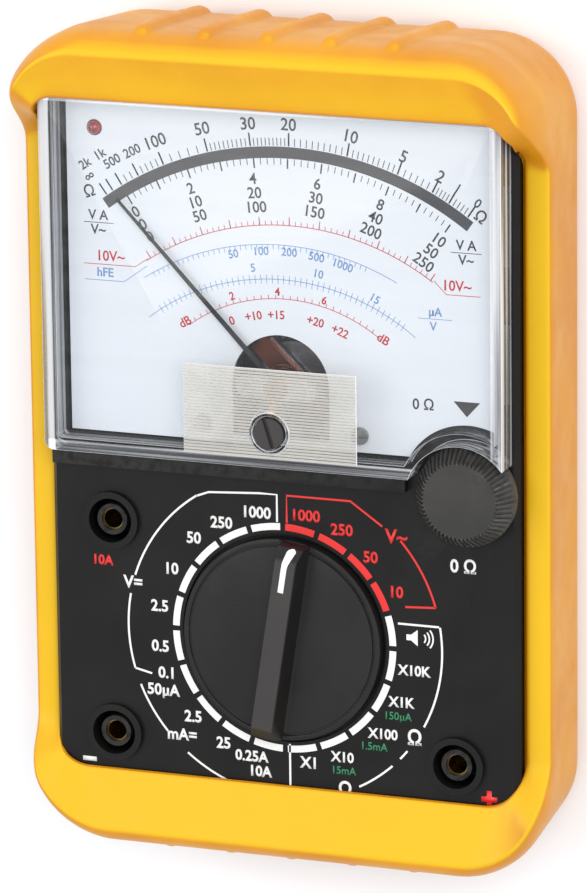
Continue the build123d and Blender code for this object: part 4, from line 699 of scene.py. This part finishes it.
# The section from the inner lip over the crest to the outer wall: share of the way out, height.
SIDE_SECTION = ((0.0, 28.0), (0.02, 28.55), (0.12, 28.98), (0.45, 29.1), (0.80, 29.08), (0.905, 28.92),
                (0.965, 28.45), (0.99, 27.8), (1.0, 27.0), (1.0, 26.0))
TOP_SECTION = ((0.0, 39.0), (0.01, 39.55), (0.05, 40.0), (0.35, 41.1), (0.60, 42.2), (0.69, 42.55),
               (0.77, 42.1), (0.90, 40.4), (0.975, 38.2), (1.0, 35.6))
LOW_SECTION = ((0.0, 32.45), (0.01, 32.95), (0.05, 33.35), (0.38, 34.5), (0.70, 35.7), (0.785, 35.95),
               (0.86, 35.45), (0.94, 34.1), (0.985, 32.3), (1.0, 30.4))
LIP_OVER_TOP = 3.2              # how far the lips reach over the case's ends
LIP_OVER_LOW = 6.7
CASE_BEVEL = 1.2
POCKET_FIT = 0.2
OUTER_CORNER = 19.0
POCKET_CORNER = 9.2
RIB_XS = (-26.6, -13.3, 0.0, 13.3, 26.6)
RIB_HALF = 1.75
RIB_PROUD = 1.38
RIB_HEIGHT = 1.4                # of the ribs in the holster's own box


def away_from(points, half, low, high, corner):
    """Outward direction at each point of a rounded outline."""
    reach = half - corner
    across = np.clip(points[:, 0], -reach, reach)
    along = np.clip(points[:, 1], low + corner, high - corner)
    away = points - np.column_stack([across, along])
    return away / np.linalg.norm(away, axis=1)[:, None]


def rib_swell(points, z, top_z, low_z):
    """How far the end ribs stand out at a height, for points on the two ends."""
    swell = np.zeros(len(points))
    for x in RIB_XS:
        across = np.clip(1 - ((points[:, 0] - x) / RIB_HALF) ** 2, 0, 1) ** 0.5
        swell = np.maximum(swell, across)
    top = np.where(points[:, 1] > 0, top_z, low_z)
    fade = 1 - ramp(z, top - 2.2, 2.2)
    return RIB_PROUD * swell * fade * ramp(z, 0.0, 3.5) * (np.abs(points[:, 1]) > 60)


def holster():
    """Swept skin: pocket wall, lip, crest, outer wall with end ribs, rounded back."""
    counts = (104, 24, 216, 24, 104, 24, 216, 24)
    stations = [(stretch, n / count) for stretch, count in enumerate(counts) for n in range(count)]
    wall_lean = CASE_BEVEL * LEAN       # the case's box ends where its bevel starts
    case_half, case_low, case_high = CASE_HIGH.x + wall_lean, CASE_LOW.y - wall_lean, CASE_HIGH.y + wall_lean
    inner = (case_half + POCKET_FIT, case_low - POCKET_FIT, case_high + POCKET_FIT)
    end = HOLSTER_HIGH.y - RIB_HEIGHT
    pocket = outline(*inner, POCKET_CORNER, POCKET_CORNER, stations)
    lip = outline(case_half, case_low + LIP_OVER_LOW, case_high - LIP_OVER_TOP, 7.5, 4.8, stations)
    outer = outline(HOLSTER_HIGH.x, -end, end, OUTER_CORNER, OUTER_CORNER, stations)
    outward = away_from(outer, HOLSTER_HIGH.x, -end, end, OUTER_CORNER)
    inward = away_from(pocket, *inner, POCKET_CORNER)

    controls = []
    for side, top, low in zip(SIDE_SECTION, TOP_SECTION, LOW_SECTION):
        reach = (top[0] + low[0]) / 2
        y = lip[:, 1] * (1 - reach) + outer[:, 1] * reach
        to_top = ramp(y, 62.5 - 3.0 * reach, 7.5 + 9.5 * reach)
        to_low = ramp(-y, 61.0 - 1.5 * reach, 8.0 + 8.5 * reach)
        share = side[0] + (top[0] - side[0]) * to_top + (low[0] - side[0]) * to_low
        z = side[1] + (top[1] - side[1]) * to_top + (low[1] - side[1]) * to_low
        point = lip * (1 - share)[:, None] + outer * share[:, None]
        controls.append(np.column_stack([point, z]))
    over = through(controls, 3)

    wall = []
    edge_z = controls[-1][:, 2]
    for share in np.linspace(0.0, 1.0, 26)[1:]:
        z = edge_z + (BACK_ROUND - edge_z) * share
        inset = np.maximum(SHOULDER_Z - z, 0) * OUTER_LEAN
        wall.append(np.column_stack([outer - outward * inset[:, None], z]))
    foot_inset = (SHOULDER_Z - BACK_ROUND) * OUTER_LEAN
    for angle in np.linspace(0.0, 90.0, 9)[1:]:
        turn = math.radians(angle)
        tuck = 0.98 * (1 - math.cos(turn)) + 0.6 * OUTER_LEAN * math.sin(turn)
        inset = foot_inset + BACK_ROUND * tuck
        z = BACK_ROUND * (1 - math.sin(turn))
        wall.append(np.column_stack([outer - outward * inset, np.full(len(outer), z)]))
    for row in wall + over[-12:]:
        swell = rib_swell(row[:, :2], row[:, 2], 39.5, 31.0)
        row[:, :2] += outward * swell[:, None]

    inside = []
    under = controls[0][:, 2]
    for share in (1.0, 0.9, 0.6, 0.3, 0.0):
        z = HOLSTER_FLOOR + (under - HOLSTER_FLOOR) * share
        inset = np.clip(PANEL_Z - z, 0, None) * LEAN
        inside.insert(0, np.column_stack([pocket - inward * inset[:, None], z]))
    rows = inside + over + wall

    around = len(stations)
    points = np.vstack(rows)
    faces = [(r * around + n, r * around + (n + 1) % around, (r + 1) * around + (n + 1) % around,
              (r + 1) * around + n) for r in range(len(rows) - 1) for n in range(around)]
    middle = [np.array([[0.0, 0.0, HOLSTER_FLOOR]]), np.array([[0.0, 0.0, 0.0]])]
    first, last = len(points), len(points) + 1
    foot = (len(rows) - 1) * around
    faces += [(first, (n + 1) % around, n) for n in range(around)]
    faces += [(last, foot + n, foot + (n + 1) % around) for n in range(around)]
    mesh = facing_out(flat_mesh(np.vstack([points] + middle).tolist(), faces))
    for face in mesh.polygons:
        face.use_smooth = True
    piece("holster_skin", mesh, "meter", ("rubber_holster",),
          FINISHES["rubber_yellow"])


holster()


# ---------------------------------------------------------------- selector knob and window with softened edges
piece("selector_grip", softened("selector_knob", 0.35), "selector", ("selector_knob",),
      FINISHES["knob_black"])
piece("window_moulding", softened("window_cover", 0.3), "meter", ("window_cover",),
      FINISHES["clear_cover"])


def window_ribs():
    """Fine ribs across the frosted patch of the window, left out round the zero screw."""
    half, pitch, count, height, base = 18.4, 0.64, 29, 0.1, PATCH_Z + 0.01
    foot, crown, sunk, collar = 0.27, 0.08, -0.05, 4.25
    section = ((-foot, 0.0), (-crown, height), (crown, height), (foot, 0.0), (0.0, sunk))
    ends = [(side * half, y, base + z) for side in (-1, 1) for y, z in section]
    size = len(section)
    sides = [(n, (n + 1) % size, size + (n + 1) % size, size + n) for n in range(size)]
    rib = flat_mesh(ends, sides + [tuple(range(size))[::-1], tuple(range(size, 2 * size))])
    frosted = ribbed_patch()
    mesh = ROW.grow(rib, frosted, Count=count, Step=Vector((0, pitch, 0)) * MM)
    mesh.transform(Matrix.Translation((0, (WINDOW_LOW.y + RIM - 0.1) * MM, 0)))
    sheet = bmesh.new()
    bmesh.ops.create_cone(sheet, cap_ends=True, segments=64, radius1=collar * MM, radius2=collar * MM,
                          depth=4 * MM)
    bmesh.ops.translate(sheet, verts=sheet.verts, vec=Vector((*ZERO_SCREW, base)) * MM)
    cutter_mesh = bpy.data.meshes.new("cutter")
    sheet.to_mesh(cutter_mesh)
    sheet.free()
    cutter = loose("cutter", cutter_mesh)
    ribs = loose("ribs", facing_out(mesh))
    cut = ribs.modifiers.new("cut", "BOOLEAN")
    cut.operation = "DIFFERENCE"
    cut.object = cutter
    mesh = baked(ribs)
    bpy.data.objects.remove(cutter)
    piece("window_ribs", mesh, "meter", (), frosted)


window_ribs()


# ---------------------------------------------------------------- dial printing
# Places on the dial count from the movement's pivot.
BAND_CENTRE = (2.0, -17.8)
SCALE_CENTRE = (1.0, -15.5)
NUMBER_CENTRE = (0.6, -17.6)
RED_CENTRE = (2.0, -21.3)
BLUE_CENTRE = (0.35, -24.4)
INNER_CENTRE = (1.05, -16.25)
LEFT_ZERO = -32.6               # degrees, clockwise from straight up
RIGHT_END = 34.6
TICK_SHIFT = -1.1               # from a figure to its mark, in degrees
OHM_POINTS = (("0", 35.6), ("1", 31.6), ("2", 28.2), ("5", 21.4), ("10", 12.0), ("20", 1.4), ("30", -5.6),
              ("50", -13.6), ("100", -22.2), ("200", -27.4), ("500", -31.0), ("1k", -33.0), ("2k", -34.4))
OHM_PARTS = {"1": 5, "2": 5, "5": 6, "10": 10, "20": 10, "30": 10, "50": 10, "100": 5, "200": 5, "500": 3,
             "1k": 1, "2k": 1}
CROWDED = {"1k": -31.9, "2k": -34.9, "500": -30.6, "200": -26.6}      # figures moved aside from their marks


def ohm_scale(dark):
    """Mirror band and the marks and figures over it."""
    dark.arc(BAND_CENTRE, 65.75, -36.6, 35.8, 2.35, 120)
    for (label, start), (following, end) in zip(OHM_POINTS, OHM_POINTS[1:]):
        count = OHM_PARTS[following] + 1
        dark.marks(BAND_CENTRE, 67.1, start + TICK_SHIFT, end + TICK_SHIFT, count, 1.6, 0.17)
    for label, angle in OHM_POINTS:
        dark.marks(BAND_CENTRE, 67.1, angle + TICK_SHIFT, angle + TICK_SHIFT + 0.01, 2, 2.7, 0.3)
        radius = 73.7 if label in ("1k", "2k") else 71.2
        turn = -34.0 if label.endswith("k") else angle
        height = 2.0 if angle < -22.5 or angle > 28.5 else 2.6
        dark.words(label, polar(NUMBER_CENTRE, radius, CROWDED.get(label, angle)), height, turn)
    dark.words("∞", (-40.6, 40.3), 1.8, -36)
    dark.words("Ω", (-40.7, 37.2), 2.5, -20)
    dark.words("Ω", (42.6, 37.6), 2.5, 36)


def volt_scale(dark):
    """Even marks under the band with three rows of figures."""
    dark.marks(SCALE_CENTRE, 60.9, LEFT_ZERO, RIGHT_END, 51, 1.3, 0.16)
    dark.marks(SCALE_CENTRE, 60.2, LEFT_ZERO, RIGHT_END, 11, 2.0, 0.3)
    for radius, most in ((60.0, 10), (57.1, 50), (54.2, 250)):
        for place in range(6):
            figure = most * place // 5
            angle = -31.9 + place * 13.1 + (0.5 if figure == 0 else 0.0)
            dark.words(str(figure), polar(NUMBER_CENTRE, radius, angle), 2.35, angle)
    for x, y, left, right in ((-38.9, 30.9, -42.0, -35.6), (39.6, 30.1, 36.4, 42.8)):
        dark.words("V A", (x, y + 1.5), 2.1)
        dark.words("V~", (x, y - 1.5), 2.1)
        dark.band([(left, y), (right, y)], 0.14)


def dial_printing():
    dark, red, blue = Print("dark", PIVOT), Print("red", PIVOT), Print("blue", PIVOT)
    ohm_scale(dark)
    volt_scale(dark)
    dark.words("0 Ω", (30.4, -1.6), 2.3)
    dark.add(flat_mesh([(36.8, -0.3, 0), (42.4, -0.3, 0), (39.6, -3.4, 0)], [(0, 2, 1)]))
    # red scale
    red.arc(RED_CENTRE, 54.4, -34.2, 34.2, 0.16, 80)
    red.marks(RED_CENTRE, 54.4, -33.0, 33.6, 51, 0.9, 0.13)
    red.marks(RED_CENTRE, 54.4, -33.0, 33.6, 11, 1.7, 0.18)
    red.words("10V~", (-36.4, 24.0), 2.2)
    red.words("10V~", (37.6, 23.2), 2.2)
    red.band([(-42.2, 22.3), (-31.0, 22.3), (-28.2, 24.2)], 0.14)
    red.band([(42.6, 21.4), (35.4, 21.4), (32.8, 24.0)], 0.14)
    # pale blue pair of scales
    blue.arc(BLUE_CENTRE, 53.4, -33.5, 27.5, 0.14, 80)
    blue.marks(BLUE_CENTRE, 52.4, -31.0, 20.0, 41, 1.0, 0.13)
    for figure, angle in (("50", -13.3), ("100", -5.7), ("200", 2.0), ("500", 9.4), ("1000", 16.6)):
        blue.words(figure, polar(NUMBER_CENTRE, 45.2, angle), 1.75, angle, 0.03)
    blue.arc(BLUE_CENTRE, 46.3, -38.0, 38.0, 0.14, 80)
    for radius in (46.3, 45.4):
        blue.marks(BLUE_CENTRE, radius, -34.0, 34.0, 46, 0.9, 0.12)
    for figure, angle in (("5", -8.5), ("10", 10.6), ("15", 28.0)):
        blue.words(figure, polar(NUMBER_CENTRE, 41.9, angle), 1.75, angle, 0.03)
    blue.band([(-42.0, 19.0), (-33.5, 19.0), (-28.5, 22.6)], 0.14)
    blue.words("hFE", (-37.6, 20.6), 1.9)
    blue.words("µA", (33.0, 17.6), 1.8)
    blue.words("V", (32.6, 14.6), 1.8)
    blue.band([(29.4, 16.2), (36.6, 16.2)], 0.12)
    # innermost red scale
    red.arc(INNER_CENTRE, 34.2, -37.0, 37.0, 0.14, 60)
    red.marks(INNER_CENTRE, 34.2, -34.0, 33.0, 27, 0.8, 0.13)
    for figure, angle in (("2", -17.0), ("4", -1.6), ("6", 14.0)):
        red.words(figure, polar(NUMBER_CENTRE, 36.9, angle), 1.7, angle)
    for figure, angle in (("0", -19.8), ("+10", -11.2), ("+15", -2.4), ("+20", 12.6), ("+22", 22.4)):
        red.words(figure, polar(NUMBER_CENTRE, 32.1, angle), 1.8, angle)
    red.words("dB", (-20.4, 11.6), 1.9, -30)
    red.words("dB", (22.0, 11.2), 1.9, 30)
    dark.lay("dial_print_dark", DIAL_Z)
    red.lay("dial_print_red", DIAL_Z)
    blue.lay("dial_print_blue", DIAL_Z)


dial_printing()


# ---------------------------------------------------------------- panel printing
# Places on the panel count from the selector's axis.
HUB = (0.0, 0.0)


def selector_ring(signal, white):
    """Ring of segments, one to a position: four signal red, the rest white."""
    half = math.radians((STEP - RING_GAP) / 2)
    turns = np.linspace(-half, half, 9)
    ring = [(r * math.sin(t), r * math.cos(t), 0) for t in turns for r in (RING_INNER, RING_OUTER)]
    faces = [(n, n + 2, n + 3, n + 1) for n in range(0, len(ring) - 2, 2)]
    for colour, first, count in ((signal, 0, 4), (white, 4, 16)):
        start, end = STEP * (first + 0.5), STEP * (first + count - 0.5)
        colour.add(ARC.grow(flat_mesh(ring, faces), colour.finish, Count=count, Radius=0.0,
                            Start=math.radians(start), End=math.radians(end)))


def panel_labels(signal, white, green):
    """Figures and unit signs."""
    for ink_used, height, bold, labels in (
            (white, 2.45, 0.1, (("1000", (-5.7, 25.9)), ("250", (-13.3, 23.1)), ("2.5", (-20.1, -18.7)),
                                ("25", (-13.5, -23.7)), ("X1", (5.2, -26.1)), ("0.1", (-25.7, -9.9)),
                                ("50µA", (-26.6, -13.6)))),
            (white, 2.2, 0.09, (("X10", (12.4, -24.2)), ("X100", (21.2, -18.4)), ("X1K", (25.2, -11.3)),
                                ("X10K", (28.0, -4.4)))),
            (white, 2.3, 0.1, (("0.25A", (-7.4, -25.9)), ("10A", (-5.6, -29.0)))),
            (white, 2.7, 0.1, (("V=", (-32.8, 8.8)),)),
            (white, 2.5, 0.1, (("mA=", (-22.6, -22.8)),)),
            (white, 2.8, 0.1, (("0 Ω", (38.6, 18.4)),)),
            (white, 3.2, 0.12, (("Ω", (28.0, -18.6)),)),
            (white, 3.0, 0.12, (("Ω", (12.9, -31.0)),)),
            (white, 4.2, 0.25, (("−", (-43.2, -30.2)),)),
            (signal, 2.45, 0.1, (("1000", (4.9, 26.1)), ("250", (12.7, 23.8)), ("50", (18.8, 18.6)),
                                 ("10", (24.2, 11.8)))),
            (signal, 3.0, 0.12, (("V~", (24.4, 23.4)),)),
            (signal, 2.1, 0.1, (("10A", (-39.5, 13.0)),)),
            (signal, 4.6, 0.3, (("+", (43.9, -30.2)),)),
            (green, 1.7, 0.04, (("150µA", (24.4, -14.3)), ("1.5mA", (19.2, -21.2)),
                                ("15mA", (12.6, -27.0))))):
        for label, at in labels:
            ink_used.words(label, at, height, 0.0, bold)
    for steps, label in ((-3, "50"), (-4, "10"), (-5, "2.5"), (-6, "0.5")):
        white.words(label, polar(HUB, NUMBER_RADIUS, STEP * (steps + 0.5)), 2.45, 0.0, 0.1)


def panel_brackets(signal, white):
    """Lines that gather the ranges, and the sound sign."""
    white.band([(-1.2, 24.4), (-1.2, 30.1), (-5.0, 30.1), (-16.0, 29.4), (-18.6, 28.4)], BRACKET_WIDTH)
    for start, end, count in ((327.0, 288.0, 24), (281.0, 254.0, 18), (248.0, 229.0, 12), (219.0, 195.0, 12),
                              (81.0, 118.0, 24), (129.0, 133.0, 6), (137.0, 152.0, 10)):
        white.arc(HUB, BRACKET_RADIUS, start, end, BRACKET_WIDTH, count)
    white.band([polar(HUB, BRACKET_RADIUS, 254.0), (-29.0, -10.2)], BRACKET_WIDTH)
    white.band([(1.0, -22.4), (1.0, -32.0)], BRACKET_WIDTH)
    white.band([(1.0, -32.0), (9.8, -32.0)], BRACKET_WIDTH)
    white.band([(24.6, 5.4), (33.4, 5.4)], BRACKET_WIDTH)
    signal.band([(0.9, 24.4), (0.9, 30.1), (14.6, 30.1), (21.4, 25.4)], BRACKET_WIDTH)
    signal.arc(HUB, BRACKET_RADIUS, 48.0, 74.0, BRACKET_WIDTH, 18)
    signal.band([polar(HUB, BRACKET_RADIUS, 74.0), (26.2, 9.0)], BRACKET_WIDTH)
    for reach in (1.3, 2.1, 2.9):
        white.arc((29.2, 2.7), reach, 50, 130, 0.32, 8)
    white.add(flat_mesh([(26.4, 2.1, 0), (27.4, 2.1, 0), (28.8, 1.0, 0), (28.8, 4.4, 0), (27.4, 3.3, 0),
                         (26.4, 3.3, 0)], [(0, 1, 2, 3, 4, 5)]))


def panel_printing():
    white, signal, green = Print("white", SELECTOR), Print("signal", SELECTOR), Print("green", SELECTOR)
    selector_ring(signal, white)
    panel_labels(signal, white, green)
    panel_brackets(signal, white)
    white.lay("panel_print_white", PANEL_Z)
    signal.lay("panel_print_red", PANEL_Z)
    green.lay("panel_print_green", PANEL_Z)


panel_printing()


def pointer_mark():
    """White stroke laid on the grip's end: a broad head near the rim that bends into a narrower tail."""
    knob = frame["nodes"]["selector_knob"].data
    skin = BVHTree.FromPolygons([v.co for v in knob.vertices], [tuple(f.vertices) for f in knob.polygons])
    turn = Matrix.Rotation(math.radians(-0.5 * STEP), 4, "Z")
    rows, columns = 30, 7
    points = []
    for row in range(rows):
        share = row / (rows - 1)
        half = (1.0 - 0.4 * min(share / 0.4, 1.0)) * math.sqrt(min(1.0, share / 0.06 + 0.05))
        bend = 0.75 * max(0.0, 1 - share / 0.45) ** 1.5 - 0.1
        for column in range(columns):
            x = bend + half * (2 * column / (columns - 1) - 1)
            spot = turn @ Vector((x, 20.6 - 9.0 * share, 0)) + Vector((*SELECTOR, 60))
            landed = skin.ray_cast(spot * MM, Vector((0, 0, -1)))[0]
            points.append((spot.x, spot.y, landed.z / MM + INK_THICKNESS))
    count = len(points)
    top = [(r * columns + c, r * columns + c + 1, (r + 1) * columns + c + 1, (r + 1) * columns + c)
           for r in range(rows - 1) for c in range(columns - 1)]
    under = [tuple(count + n for n in reversed(face)) for face in top]
    rim = ([c for c in range(columns)] + [r * columns + columns - 1 for r in range(1, rows)]
           + [(rows - 1) * columns + c for c in range(columns - 2, -1, -1)]
           + [r * columns for r in range(rows - 2, 0, -1)])
    sides = [(rim[n], count + rim[n], count + rim[(n + 1) % len(rim)], rim[(n + 1) % len(rim)])
             for n in range(len(rim))]
    lower = [(x, y, z - 2 * INK_THICKNESS) for x, y, z in points]
    mesh = facing_out(flat_mesh(points + lower, top + under + sides))
    piece("pointer_mark", mesh, "selector", (), INKS["white"])


pointer_mark()


# ---------------------------------------------------------------- floor and light
def backdrop():
    make = Finish("floor_pale")
    clouds = make.clouds(0.004, 3.0)
    colour = make.mix(clouds, (0.88, 0.91, 0.95, 1.0), (0.90, 0.93, 0.97, 1.0))
    material = make.close(make.shader(colour, 0.6 + clouds * 0.1))
    mesh = flat_mesh([(-3000, -3000, 0), (3000, -3000, 0), (3000, 3000, 0), (-3000, 3000, 0)], [(0, 1, 2, 3)])
    mesh.materials.append(material)
    floor = loose("floor", mesh)
    floor.location.z = -0.0002
    world = bpy.data.worlds.new("studio")
    bpy.context.scene.world = world
    world.use_nodes = True
    world.node_tree.nodes["Background"].inputs[0].default_value = (0.95, 0.97, 1.0, 1.0)
    world.node_tree.nodes["Background"].inputs[1].default_value = 0.84


def softbox(name, at, aim, size, power, colour=(1.0, 0.98, 0.95)):
    lamp = bpy.data.lights.new(name, "AREA")
    lamp.shape = "RECTANGLE"
    lamp.size, lamp.size_y = size
    lamp.energy = power
    lamp.color = colour
    thing = bpy.data.objects.new(name, lamp)
    bpy.context.scene.collection.objects.link(thing)
    thing.location = at
    thing.rotation_euler = (Vector(aim) - Vector(at)).to_track_quat("-Z", "Y").to_euler()


backdrop()
softbox("key", (0.65, 0.4, 1.15), (0.0, 0.0, 0.0), (0.7, 0.7), 8.5)
softbox("back", (0.1, 1.1, 0.42), (0.0, 0.0, 0.03), (1.2, 0.4), 1.6)
softbox("fill", (-0.8, 0.2, 1.0), (0.0, 0.0, 0.0), (0.8, 0.8), 4.5)
bpy.context.scene.view_settings.view_transform = "Standard"
